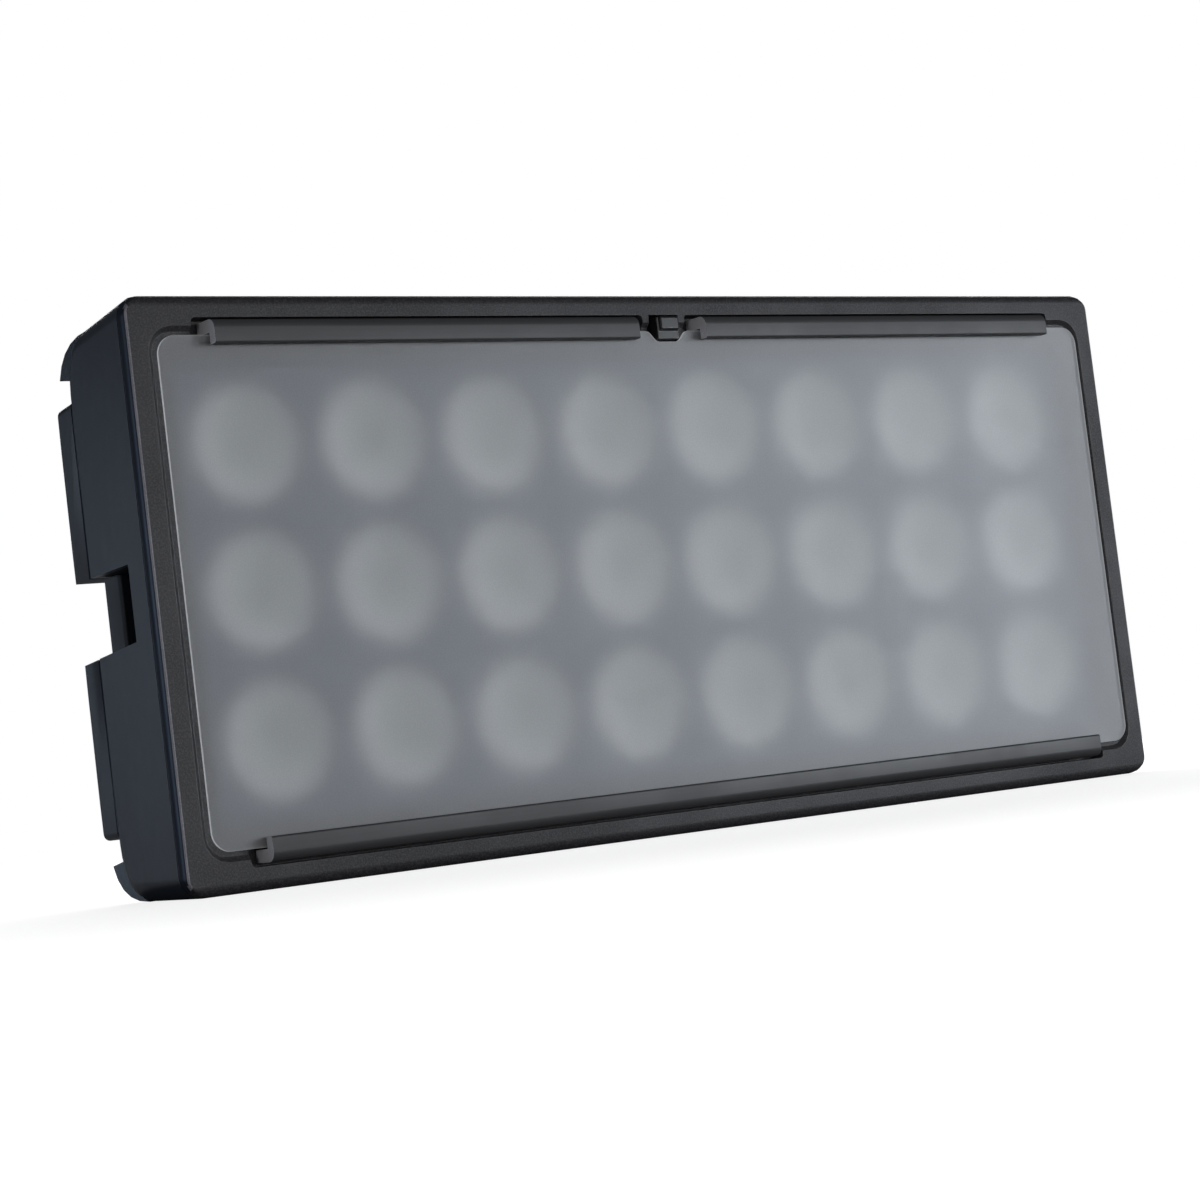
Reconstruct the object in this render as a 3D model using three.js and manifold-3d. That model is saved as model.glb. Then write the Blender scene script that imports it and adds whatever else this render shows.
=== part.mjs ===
// Matrix stage light: a flat portable wash light with 24 lamps behind a frosted slide-in diffuser.
// Millimetres. Inside the group, X runs to the right as seen from the front, Y runs from the
// bezel's face into the case, and Z is up from mid-height. The group is then set down with its
// flat bottom on Z = 0 and its depth centred on Y = 0.

import * as THREE from 'three';
import { mergeVertices } from 'three/addons/utils/BufferGeometryUtils.js';
import Module from 'manifold-3d';

const wasm = await Module();
wasm.setup();

// Clearances
const fitGap = 0.3;          // between seated pieces
const slideGap = 0.4;        // round pieces that travel
const overrun = 5;           // how far a cutting solid runs past what it cuts

// Case
const caseWidth = 650;
const caseHeight = 291.2;
const caseCornerRadius = 11;
const caseSideLean = 21.1;   // how far each side leans in from the bezel's rim to the seam
const seamDepth = 106.5;     // from the bezel's face to the seam of the rear cover
const caseWall = 3;
const rearCornerRadius = 20;
const ventSlotLength = 34;
const ventSlotWidth = 5;
const ventSlotPitch = 15;
const ventSlotCount = 7;
const ventRowGap = 3.5;      // from the slots in the top and bottom to the rear corner
const bossRadius = 6;
const bossSideInset = 125;
const bossEndInset = 23.6;

// Bezel
const bezelRimDepth = 6;
const bezelPlugDepth = 8;
const bezelEdgeRadius = 5.5;         // of the front edge along the top and bottom
const bezelSideBevel = 2.6;         // how far the front edge comes in along the two sides
const bezelFaceCornerRadius = 3;
const recessSideBorder = 12.2;
const recessEndBorder = 15.6;
const recessDepth = 2.5;
const recessCornerRadius = 13;
const windowSideBorder = 11.8;      // from the recess to the window
const windowEndBorder = 17;
const windowCornerRadius = 6;
const recessWidth = caseWidth - recessSideBorder * 2;
const recessHeight = caseHeight - recessEndBorder * 2;
const windowWidth = recessWidth - windowSideBorder * 2;
const windowHeight = recessHeight - windowEndBorder * 2;

// Latch button and its slot
const latchWidth = 14;
const latchSideGap = 2.8;
const latchTopGap = 1.6;
const latchCatchLap = 4.65;         // how far the catch reaches over the sheet's height
const latchCatchGap = 1.25;
const latchCatchProud = 3;
const latchPadInset = 0.85;
const latchPadHeight = 7.4;
const latchPadProud = 5.5;
const latchPadChamfer = 0.8;
const latchFlangeLap = 3.2;
const latchSlotWidth = latchWidth + latchSideGap * 2;
const latchPadWidth = latchWidth - latchPadInset * 2;
const latchFlangeWidth = latchSlotWidth + latchFlangeLap * 2;

// Diffuser and its rails
const diffuserSideGap = 3.85;       // from the recess to the sheet
const diffuserEndGap = 4.95;
const diffuserThickness = 1.5;
const diffuserCornerRadius = 10;
const diffuserStandOff = 0.1;       // from the bezel's face to the back of the sheet
const diffuserNotchFlare = 5;
const diffuserNotchRadius = 2.4;
const railSlotEndBorder = 11.6;
const railSlotSideBorder = 36.6;
const railSlotLatchGap = 4.5;
const railSlotBase = 3.7;           // left behind the slot
const railSlotRadius = 2;
const railEndGap = 8.1;
const railInnerGap = 8.2;
const railFront = 7.6;
const railTopGap = 1.5;
const railLipLap = 5.05;
const railLipThickness = 5.6;
const railCornerRadius = 5;
const railLipRadius = 1.2;
const railUnderGap = 0.9;
const diffuserWidth = recessWidth - diffuserSideGap * 2;
const diffuserHeight = recessHeight - diffuserEndGap * 2;
const diffuserNotchBottom = latchWidth + slideGap * 2;
const diffuserNotchTop = diffuserNotchBottom + diffuserNotchFlare * 2;
const diffuserNotchDepth = latchCatchLap + latchCatchGap;
const railSlotOuter = caseHeight / 2 - railSlotEndBorder;
const railSlotFloor = bezelRimDepth + bezelPlugDepth - railSlotBase;
const railSlotEnd = caseWidth / 2 - railSlotSideBorder;
const railSlotInner = latchSlotWidth / 2 + railSlotLatchGap;
const railEnd = railSlotEnd - railEndGap;
const railInner = railSlotInner + railInnerGap;
const railTop = railSlotOuter - railTopGap;
const railLipEdge = diffuserHeight / 2 - railLipLap;
const latchTop = railSlotOuter - latchTopGap;
const latchCatchEdge = diffuserHeight / 2 - latchCatchLap;

// Latch behind the bezel
const latchFlangeThickness = 2;
const latchStemRadius = 2.5;
const latchTravel = 5;
const springWireRadius = 0.6;
const springCoilRadius = 4.2;
const springTurns = 5;
const springSpare = 6;             // left in the spring when the button is fully pressed
const guideThickness = 2;
const guidePostWidth = 3;

// Side notches, the pockets in them and the bars across them
const notchFront = 34;
const notchHalfFront = 19;
const notchHalfRear = 21.5;
const notchReach = 46;             // from the case's widest side in to the notch's floor
const pocketWall = 2.5;
const barInset = 27.6;
const barThickness = 10;
const barDepth = 18.2;
const barEdgeRadius = 2;
const tenonDepth = 9;
const tenonThickness = 5;
const coverNotchReach = 57;
const pocketFloorX = caseWidth / 2 - notchReach;
const barOuterX = caseWidth / 2 - barInset;
const coverNotchX = caseWidth / 2 - coverNotchReach;

// Lamps behind the diffuser
const lampPitch = 73.64;
const lensSpacing = 11.84;
const lensRimThickness = 2.6;
const lensDomeRise = 1.2;
const lensFrontDepth = 15.8;
const lensBackDepth = 37.6;
const lensBackDiameter = 22;
const lensCarrierMargin = 2.1;
const lensCarrierThickness = 2.2;
const lensCarrierEndMargin = 3.1;
const maskThickness = 2;
const maskLap = 5;
const maskHoleMargin = 1.9;
const emitterSize = 14;
const emitterThickness = 1.5;
const boardWidth = 34;
const boardThickness = 1.6;
const boardOverhang = 20;
const lensDiameter = lampPitch - lensSpacing;
const lensCarrierWidth = lensDiameter + lensCarrierMargin * 2;
const lensCarrierOverhang = lensDiameter / 2 + lensCarrierEndMargin;
const maskHoleDiameter = lensDiameter + maskHoleMargin * 2;
const boardRowWidth = (pocketFloorX - pocketWall - fitGap) * 2 - boardWidth;
const lampColumns = Math.floor(Math.min(windowWidth + lensSpacing, boardRowWidth + lampPitch) / lampPitch);
const lampRows = Math.floor((windowHeight + lensSpacing) / lampPitch);

// Heat sink
const sinkSideGap = 27;
const sinkEndGap = 15.6;
const sinkPlateThickness = 5;
const finRearGap = 18.2;            // from the fins to the case's rear wall
const finThickness = 2;
const finPitch = 16;
const finSideMargin = 9;
const finEndMargin = 17;
const sinkWidth = caseWidth - sinkSideGap * 2;
const sinkHeight = caseHeight - sinkEndGap * 2;
const finRowWidth = sinkWidth - finSideMargin * 2;
const finLength = sinkHeight - finEndMargin * 2;

// Rear cover
const coverEndGap = 12.8;           // from the case's rear corner
const coverDepth = 39.3;
const coverSideStep = 0.8;
const coverWall = 3;
const coverSlopeHeight = 15.7;      // of the sloping top and bottom ends of the rear face
const coverSlopeDepth = 6;
const coverSideBevel = 1.5;
const coverCornerRadius = 3.5;
const notchSlopeHeight = 17;        // of the slopes of the rear face towards the side notches
const notchSlopeDepth = 4;
const baySideInset = 103;
const bayBottomBorder = 16.8;
const bayDepth = 12;
const fanTopBorder = 20.8;
const fanRoomShare = 20 / 47;       // of the height between the two borders
const bayRoomShare = 41 / 94;
const pillarRadius = 7;
const screwSideInset = 48;
const screwEndInset = 22.8;
const screwHeadRadius = 4.5;
const screwHeadThickness = 2.4;
const screwRadius = 2.5;
const screwTip = 3;
const coverSlotInset = 7;           // from a fan's top and bottom
const coverSlotPitch = 12;
const coverHeight = caseHeight - (rearCornerRadius + coverEndGap) * 2;
const bayWidth = caseWidth - baySideInset * 2;
const coverRoom = coverHeight - fanTopBorder - bayBottomBorder;
const bayBottom = -coverHeight / 2 + bayBottomBorder;
const bayTop = bayBottom + coverRoom * bayRoomShare;
const screwX = caseWidth / 2 - screwSideInset;
const screwZ = coverHeight / 2 - screwEndInset;

// Rear rails at the top and bottom edges
const rearRailSideInset = 26;
const rearRailReach = 20.5;         // from the seam back to the tip
const rearRailTipRise = 2.4;
const rearRailFootReach = 5;
const rearRailFootDrop = 2;         // below the case's rear corner
const rearRailStart = 80;           // degrees round the case's rear corner
const rearRailBendShare = 1 / 3;    // of the corner's radius, how far the back leans in
const rearRailHalfLength = caseWidth / 2 - rearRailSideInset;
const rearRailTipDepth = seamDepth + rearRailReach;
const rearRailFootDepth = seamDepth + rearRailFootReach;
const rearRailFootHeight = caseHeight / 2 - rearCornerRadius - rearRailFootDrop;
const rearRailTipHeight = rearRailFootHeight + rearRailTipRise;

// Fans
const fanDepth = 25;
const fanPitch = 150;
const fanRimWidth = 2.5;
const fanCornerRadius = 4;
const fanHubShare = 0.4533;         // of the bore's radius
const fanHubLength = 15;
const fanPinRadius = 2;
const fanStrutWidth = 4;
const fanStrutDepth = 3;
const fanTipGap = 2;
const fanBlades = 7;
const bladeThickness = 1.6;
const bladeRootShare = 0.98;        // of the arc from blade to blade
const bladeTipShare = 0.62;
const bladeRootPitch = 42;          // degrees
const bladeTipPitch = 28;           // degrees
const guardThickness = 2.4;
const guardRingWidth = 2.4;
const guardRings = 3;
const guardSpokes = 4;
const fanSize = coverRoom * fanRoomShare;
const fanHeight = coverHeight / 2 - fanTopBorder - fanSize / 2;
const fanBore = fanSize - fanRimWidth * 2;
const fanHubRadius = fanBore / 2 * fanHubShare;
const coverSlotLength = fanSize - coverSlotInset * 2;
const coverSlotCount = Math.floor((fanPitch - fanSize) / coverSlotPitch);
const fanRowWidth = (coverNotchX - coverWall) * 2 - coverSlotCount * coverSlotPitch;
const fanCount = Math.floor(fanRowWidth / fanPitch);

// Power supply and controls
const supplyWidth = 220;
const supplyHeight = 70;
const supplyDepth = 25;
const supplyBottomGap = 45.6;
const panelWidth = 136;
const panelEndGap = 3;
const panelThickness = 2;
const panelMargin = 6;
const displaySideMargin = 26;
const displayTopMargin = 9;
const displayKeyGap = 19;           // from the display to the middle of the keys
const displayDepth = 1.2;
const displayThickness = 1.4;
const keyCount = 4;
const keyGap = 8;
const keyBottomMargin = 18;
const keyHeight = 9;
const keyRadius = 2;
const keyProud = 2.7;
const keyFlange = 2;
const keyFlangeThickness = 1.8;
const keyTravel = 1.2;
const switchSize = 6;
const switchHeight = 4;
const controlBoardThickness = 1.6;
const standoffRadius = 2.5;
const connectorFlange = 40;
const connectorGapShares = [23 / 37, 8 / 37];   // of the width that two sockets leave beside the panel
const connectorFlangeThickness = 2;
const connectorCollarDepth = 7;
const connectorBodyDepth = 14;
const socketRadius = 11.5;
const socketWall = 2;
const collarWall = 3.5;
const socketDepth = 16;
const socketKeyWidth = 4;
const socketKeyHeight = 2;
const supplyCentreZ = -caseHeight / 2 + supplyBottomGap + supplyHeight / 2;
const panelTop = bayTop - panelEndGap;
const panelBottom = bayBottom + panelEndGap;
const displayWidth = panelWidth - displaySideMargin * 2;
const keyWidth = (displayWidth - (keyCount - 1) * keyGap) / keyCount;
const keyPitch = keyWidth + keyGap;
const keyZ = panelBottom + keyBottomMargin;
const displayTop = panelTop - displayTopMargin;
const displayBottom = keyZ + displayKeyGap;
const connectorZ = (bayTop + bayBottom) / 2;
const connectorBodyRadius = socketRadius + socketWall;
const connectorCollarRadius = socketRadius + collarWall;

// Steps round each curve of an outline, and sides of round pieces
const cornerSteps = 4;
const edgeSteps = 2;
const keySteps = 1;
const railSteps = 5;
const maskHoleSteps = 5;
const wireSteps = 2;
const coilSteps = 8;
const smallSides = 8;
const ringSides = 10;
const rodSides = 12;
const boreSides = 24;

// Turns a closed triangle mesh into a solid, with its faces pointing out.
function closedSolid(positions, indices) {
  const corner = (index) => new THREE.Vector3().fromArray(positions, index * 3);
  const faces = [];
  let volume = 0;
  for (let i = 0; i < indices.length; i += 3) {
    const [a, b, c] = [indices[i], indices[i + 1], indices[i + 2]];
    if (a === b || b === c || c === a) continue;
    faces.push([a, b, c]);
    volume += corner(a).dot(corner(b).cross(corner(c)));
  }
  const triVerts = Uint32Array.from(faces.flatMap(([a, b, c]) => (volume < 0 ? [a, c, b] : [a, b, c])));
  const vertProperties = Float32Array.from(positions);
  return new wasm.Manifold(new wasm.Mesh({ numProp: 3, vertProperties, triVerts }));
}

function solid(geometry) {
  const bare = geometry.clone();
  bare.deleteAttribute('normal');
  bare.deleteAttribute('uv');
  const merged = mergeVertices(bare);
  return closedSolid(merged.attributes.position.array, merged.index.array);
}

function geometryOf(shape) {
  const mesh = shape.getMesh();
  const geometry = new THREE.BufferGeometry();
  geometry.setAttribute('position', new THREE.BufferAttribute(mesh.vertProperties, 3));
  geometry.setIndex(new THREE.BufferAttribute(mesh.triVerts, 1));
  geometry.computeVertexNormals();
  return geometry;
}

const join = (shapes) => shapes.reduce((whole, shape) => whole.add(shape));
const cut = (shape, tools) => tools.reduce((rest, tool) => rest.subtract(tool), shape);
const range = (count) => Array.from({ length: count }, (_, index) => index);
const spread = (count, pitch) => range(count).map((index) => (index - (count - 1) / 2) * pitch);

function block(x0, x1, y0, y1, z0, z1) {
  const box = new THREE.BoxGeometry(x1 - x0, y1 - y0, z1 - z0);
  return solid(box.translate((x0 + x1) / 2, (y0 + y1) / 2, (z0 + z1) / 2));
}

// A block on one side of the case: 1 is the right, -1 the left.
function sideBlock(side, x0, x1, y0, y1, z0, z1) {
  return side > 0 ? block(x0, x1, y0, y1, z0, z1) : block(-x1, -x0, y0, y1, z0, z1);
}

function rod(radius, y0, y1, x, z, sides = rodSides) {
  return solid(new THREE.CylinderGeometry(radius, radius, y1 - y0, sides).translate(x, (y0 + y1) / 2, z));
}

// A revolved piece about an axis along Y, from [radius, depth] points that start and end on it.
function turned(profile, x, z, sides = rodSides) {
  const points = profile.map(([radius, y]) => new THREE.Vector2(radius, y));
  return solid(new THREE.LatheGeometry(points, sides).translate(x, 0, z));
}

// A plate from an outline drawn in X and Z, filling y0 to y1.
function plate(outline, y0, y1, steps = cornerSteps) {
  const options = { depth: y1 - y0, bevelEnabled: false, curveSegments: steps };
  return solid(new THREE.ExtrudeGeometry(outline, options).rotateX(Math.PI / 2).translate(0, y1, 0));
}

// A bar from a section drawn in Y and Z, filling x0 to x1.
function barAlongX(section, x0, x1, steps = cornerSteps) {
  const options = { depth: x1 - x0, bevelEnabled: false, curveSegments: steps };
  const turn = new THREE.Matrix4().makeBasis(
    new THREE.Vector3(0, 1, 0), new THREE.Vector3(0, 0, 1), new THREE.Vector3(1, 0, 0));
  return solid(new THREE.ExtrudeGeometry(section, options).applyMatrix4(turn).translate(x0, 0, 0));
}

// A bar from a section drawn in X and Y, filling z0 to z1.
function barAlongZ(section, z0, z1, steps = cornerSteps) {
  const options = { depth: z1 - z0, bevelEnabled: false, curveSegments: steps };
  return solid(new THREE.ExtrudeGeometry(section, options).translate(0, 0, z0));
}

function roundedOutline(halfWidth, halfHeight, radius, x = 0, z = 0) {
  const outline = new THREE.Shape();
  const corners = [[1, -1, -1 / 2], [1, 1, 0], [-1, 1, 1 / 2], [-1, -1, 1]];
  for (const [sideX, sideZ, turn] of corners) {
    const centreX = x + sideX * (halfWidth - radius);
    const centreZ = z + sideZ * (halfHeight - radius);
    outline.absarc(centreX, centreZ, radius, turn * Math.PI, (turn + 1 / 2) * Math.PI, false);
  }
  return outline;
}

// One ring of a case section: a rounded rectangle in X and Z at one depth.
function roundedRing(halfWidth, halfHeight, radius, y) {
  const ring = [];
  for (const [sideX, sideZ, turn] of [[1, -1, -1 / 2], [1, 1, 0], [-1, 1, 1 / 2], [-1, -1, 1]]) {
    for (const step of range(cornerSteps + 1)) {
      const angle = (turn + step / cornerSteps / 2) * Math.PI;
      const x = sideX * (halfWidth - radius) + radius * Math.cos(angle);
      const z = sideZ * (halfHeight - radius) + radius * Math.sin(angle);
      ring.push(new THREE.Vector3(x, y, z));
    }
  }
  return ring;
}

// A solid skinned over rings that hold the same number of points.
function skinned(rings) {
  const count = rings[0].length;
  const faces = [];
  for (const level of range(rings.length - 1)) {
    for (const i of range(count)) {
      const j = (i + 1) % count;
      const low = level * count;
      const high = low + count;
      faces.push(low + i, low + j, high + j, low + i, high + j, high + i);
    }
  }
  const last = (rings.length - 1) * count;
  for (let i = 1; i < count - 1; i += 1) {
    faces.push(0, i + 1, i, last, last + i, last + i + 1);
  }
  return closedSolid(rings.flat().flatMap((point) => point.toArray()), faces);
}

// The case tapers in evenly from the bezel's rim to the rear.
const bezelDepth = bezelRimDepth + bezelPlugDepth;
const caseTaper = caseSideLean / (seamDepth - bezelRimDepth);
const caseHalfWidth = (y) => caseWidth / 2 - caseTaper * (y - bezelRimDepth);
const bendDepth = seamDepth - rearCornerRadius;
const ventRowDepth = bendDepth - ventRowGap - ventSlotLength / 2;

// The case's outer form, or the same form a set distance inside it, from y0 back.
function caseForm(y0, inset) {
  const radius = caseCornerRadius - inset;
  const bend = rearCornerRadius - inset;
  const ring = (y, drop) => roundedRing(caseHalfWidth(y) - inset, caseHeight / 2 - inset - drop, radius, y);
  const bent = range(cornerSteps + 1).map((step) => {
    const angle = step / cornerSteps * Math.PI / 2;
    return ring(bendDepth + bend * Math.sin(angle), bend * (1 - Math.cos(angle)));
  });
  return skinned([ring(y0, 0), ...bent]);
}

// The side notch, which widens a little towards the rear.
function notchCut(side, floorX, front) {
  const rear = seamDepth + coverDepth + overrun;
  const slope = (notchHalfRear - notchHalfFront) / (seamDepth + coverDepth - notchFront);
  const half = (y) => notchHalfFront + slope * (y - notchFront);
  const section = new THREE.Shape([
    new THREE.Vector2(front, -half(front)), new THREE.Vector2(rear, -half(rear)),
    new THREE.Vector2(rear, half(rear)), new THREE.Vector2(front, half(front))]);
  const reach = caseWidth / 2 + overrun;
  return side > 0 ? barAlongX(section, floorX, reach) : barAlongX(section, -reach, -floorX);
}

const sides = [['left', -1], ['right', 1]];
const ends = [['top', 1], ['bottom', -1]];

// Front bezel: a moulded frame whose front edge is round along the top and bottom and slimmer
// at the sides, a plug that enters the case, the recess behind the diffuser, the window, three
// rail slots and the slot of the latch.
function frontBezel() {
  const faceCornerDrop = caseCornerRadius - bezelFaceCornerRadius;
  const edge = range(cornerSteps + 1).map((step) => {
    const angle = step / cornerSteps * Math.PI / 2;
    const lean = 1 - Math.sin(angle);
    return roundedRing(caseWidth / 2 - bezelSideBevel * lean, caseHeight / 2 - bezelEdgeRadius * lean,
      caseCornerRadius - faceCornerDrop * lean, bezelEdgeRadius * (1 - Math.cos(angle)));
  });
  const rearRim = roundedRing(caseWidth / 2, caseHeight / 2, caseCornerRadius, bezelRimDepth);
  const plugInset = caseWall + fitGap;
  const plug = roundedOutline(caseHalfWidth(bezelDepth) - plugInset, caseHeight / 2 - plugInset,
    caseCornerRadius - plugInset);
  const body = skinned([...edge, rearRim]).add(plate(plug, bezelEdgeRadius, bezelDepth));

  const recess = (y, grow) => roundedRing(recessWidth / 2 + grow, recessHeight / 2 + grow,
    recessCornerRadius + grow, y);
  const window = roundedOutline(windowWidth / 2, windowHeight / 2, windowCornerRadius);
  const slotBottom = diffuserHeight / 2;
  const slot = (x0, x1, end) => plate(roundedOutline((x1 - x0) / 2, (railSlotOuter - slotBottom) / 2,
    railSlotRadius, (x0 + x1) / 2, end * (railSlotOuter + slotBottom) / 2), -overrun, railSlotFloor, keySteps);
  const railSlots = [slot(-railSlotEnd, -railSlotInner, 1), slot(railSlotInner, railSlotEnd, 1),
    slot(-railSlotEnd, railSlotEnd, -1)];
  const latchSlot = block(-latchSlotWidth / 2, latchSlotWidth / 2, -overrun, bezelDepth + overrun,
    latchCatchEdge - slideGap, railSlotOuter);
  return cut(body, [
    skinned([recess(-overrun, overrun), recess(recessDepth, -recessDepth)]),
    plate(window, -overrun, bezelDepth + overrun), ...railSlots, latchSlot]);
}

// Diffuser: one frosted sheet, notched at the middle of its top edge for the latch's catch.
function diffuserPanel() {
  const front = -diffuserStandOff - diffuserThickness;
  const half = diffuserWidth / 2;
  const top = diffuserHeight / 2;
  const outline = roundedOutline(half, top, diffuserCornerRadius);
  const wide = diffuserNotchTop / 2;
  const narrow = diffuserNotchBottom / 2;
  const floor = top - diffuserNotchDepth;
  const round = diffuserNotchRadius;
  const notch = new THREE.Shape();
  notch.moveTo(-wide - round, top);
  notch.quadraticCurveTo(-wide, top, -wide + round / 2, top - round);
  notch.lineTo(-narrow - round / 2, floor + round / 2);
  notch.quadraticCurveTo(-narrow, floor, -narrow + round, floor);
  notch.lineTo(narrow - round, floor);
  notch.quadraticCurveTo(narrow, floor, narrow + round / 2, floor + round / 2);
  notch.lineTo(wide - round / 2, top - round);
  notch.quadraticCurveTo(wide, top, wide + round, top);
  notch.lineTo(wide + round, top + overrun);
  notch.lineTo(-wide - round, top + overrun);
  notch.closePath();
  const back = front + diffuserThickness;
  return plate(outline, front, back).subtract(plate(notch, front - overrun, back + overrun));
}

// Rail: a J section with its body seated in the bezel's slot and its lip over the sheet's edge.
function diffuserRail(end, x0, x1) {
  const lipBack = -railFront + railLipThickness;
  const under = diffuserHeight / 2 + railUnderGap;
  const section = new THREE.Shape();
  section.moveTo(railSlotFloor - fitGap, under);
  section.lineTo(railSlotFloor - fitGap, railTop);
  section.lineTo(-railFront + railCornerRadius, railTop);
  section.absarc(-railFront + railCornerRadius, railTop - railCornerRadius, railCornerRadius,
    Math.PI / 2, Math.PI, false);
  section.lineTo(-railFront, railLipEdge + railLipRadius);
  section.absarc(-railFront + railLipRadius, railLipEdge + railLipRadius, railLipRadius,
    Math.PI, Math.PI * 3 / 2, false);
  section.lineTo(lipBack, railLipEdge);
  section.lineTo(lipBack, under);
  const rail = barAlongX(section, x0, x1, edgeSteps);
  return end > 0 ? rail : rail.mirror([0, 0, 1]);
}

// Latch button: a square pad and a lower catch in front, a flange behind the bezel, and a stem.
const latchFlangeFront = bezelDepth + fitGap;
const latchFlangeBack = latchFlangeFront + latchFlangeThickness;
const latchAxisZ = (latchCatchEdge + latchTop) / 2;
const springLength = springTurns * springWireRadius * 2 + latchTravel + springSpare;
const guideFront = latchFlangeBack + fitGap + springLength;
const guideBack = guideFront + guideThickness;
const guideHalfWidth = latchFlangeWidth / 2 + slideGap + guidePostWidth;

function latchButton() {
  const half = latchWidth / 2;
  const body = block(-half, half, -latchCatchProud, latchFlangeBack, latchCatchEdge, latchTop);
  const padX = latchPadWidth / 2;
  const padMiddle = latchTop - latchPadHeight / 2;
  const padRing = (y, inset) => [[-1, -1], [1, -1], [1, 1], [-1, 1]].map(([sideX, sideZ]) => new THREE.Vector3(
    sideX * (padX - inset), y, padMiddle + sideZ * (latchPadHeight / 2 - inset)));
  const pad = skinned([padRing(-latchPadProud, latchPadChamfer),
    padRing(-latchPadProud + latchPadChamfer, 0), padRing(0, 0)]);
  const flange = block(-latchFlangeWidth / 2, latchFlangeWidth / 2, latchFlangeFront, latchFlangeBack,
    latchCatchEdge, latchTop);
  const stem = rod(latchStemRadius, latchFlangeFront, guideBack, 0, latchAxisZ);
  return join([body, pad, flange, stem]);
}

// Coil spring round the stem, between the flange and the guide.
class Coil extends THREE.Curve {
  getPoint(share, target = new THREE.Vector3()) {
    const angle = share * springTurns * Math.PI * 2;
    const run = springLength - springWireRadius * 2;
    return target.set(springCoilRadius * Math.cos(angle), springWireRadius + share * run,
      springCoilRadius * Math.sin(angle));
  }
}

function latchSpring() {
  const wire = new THREE.Shape();
  wire.absarc(0, 0, springWireRadius, 0, Math.PI * 2, false);
  const options = { steps: springTurns * coilSteps, curveSegments: wireSteps, bevelEnabled: false,
    extrudePath: new Coil() };
  const coil = new THREE.ExtrudeGeometry(wire, options);
  return solid(coil.translate(0, latchFlangeBack + fitGap / 2, latchAxisZ));
}

// Guide: a bridge on two posts behind the bezel, with a hole for the stem.
function latchGuide() {
  const bridge = block(-guideHalfWidth, guideHalfWidth, guideFront, guideBack, latchCatchEdge, latchTop);
  const posts = sides.map(([, side]) => sideBlock(side, guideHalfWidth - guidePostWidth, guideHalfWidth,
    latchFlangeFront, guideBack, latchCatchEdge, latchTop));
  const hole = rod(latchStemRadius + slideGap, guideFront - overrun, guideBack + overrun, 0, latchAxisZ);
  return cut(join([bridge, ...posts]), [hole]);
}

// Mask: a dark plate behind the window with one hole for each lamp.
const maskFront = bezelDepth + fitGap;

function lensMask() {
  const halfWidth = windowWidth / 2 + maskLap;
  const halfHeight = windowHeight / 2 + maskLap;
  const outline = new THREE.Shape([[-1, -1], [1, -1], [1, 1], [-1, 1]].map(([sideX, sideZ]) => (
    new THREE.Vector2(sideX * halfWidth, sideZ * halfHeight))));
  for (const x of spread(lampColumns, lampPitch)) {
    for (const z of spread(lampRows, lampPitch)) {
      const hole = new THREE.Path();
      hole.absarc(x, z, maskHoleDiameter / 2, 0, Math.PI * 2, true);
      outline.holes.push(hole);
    }
  }
  return plate(outline, maskFront, maskFront + maskThickness, maskHoleSteps);
}

// Lens column: three collimating lenses on one moulded carrier.
function lensColumn(x) {
  const rim = lensDiameter / 2;
  const rimBack = lensFrontDepth + lensRimThickness;
  const carrierFront = maskFront + maskThickness + fitGap;
  const half = (lampRows - 1) / 2 * lampPitch + lensCarrierOverhang;
  const carrier = block(x - lensCarrierWidth / 2, x + lensCarrierWidth / 2, carrierFront,
    carrierFront + lensCarrierThickness, -half, half);
  const lenses = spread(lampRows, lampPitch).map((z) => turned([
    [0, lensFrontDepth - lensDomeRise], [rim, lensFrontDepth], [rim, rimBack],
    [lensBackDiameter / 2, lensBackDepth], [0, lensBackDepth]], x, z, ringSides));
  return cut(join([carrier, ...lenses]), pocketRooms());
}

// The room that the side pockets take, with a gap round them.
function pocketRooms() {
  const edge = pocketFloorX - pocketWall - fitGap;
  const half = notchHalfRear + pocketWall + fitGap;
  return sides.map(([, side]) => sideBlock(side, edge, caseWidth / 2, notchFront - pocketWall - fitGap,
    seamDepth, -half, half));
}

// Lamp board: a strip with three emitters under the lenses of its column.
const emitterFront = lensBackDepth + fitGap;
const boardFront = emitterFront + emitterThickness;
const sinkFront = boardFront + boardThickness + fitGap;

function lampBoard(x) {
  const half = (lampRows - 1) / 2 * lampPitch + boardOverhang;
  const board = block(x - boardWidth / 2, x + boardWidth / 2, boardFront, boardFront + boardThickness,
    -half, half);
  const emitters = spread(lampRows, lampPitch).map((z) => block(x - emitterSize / 2, x + emitterSize / 2,
    emitterFront, boardFront + boardThickness / 2, z - emitterSize / 2, z + emitterSize / 2));
  return join([board, ...emitters]);
}

// Heat sink: a plate with upright fins, cut back round the side pockets, the power supply and
// the travel of the latch.
const supplyBack = seamDepth - caseWall - fitGap;
const supplyFront = supplyBack - supplyDepth;
const sinkBack = sinkFront + sinkPlateThickness;
const finHeight = seamDepth - caseWall - finRearGap - sinkBack;

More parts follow.
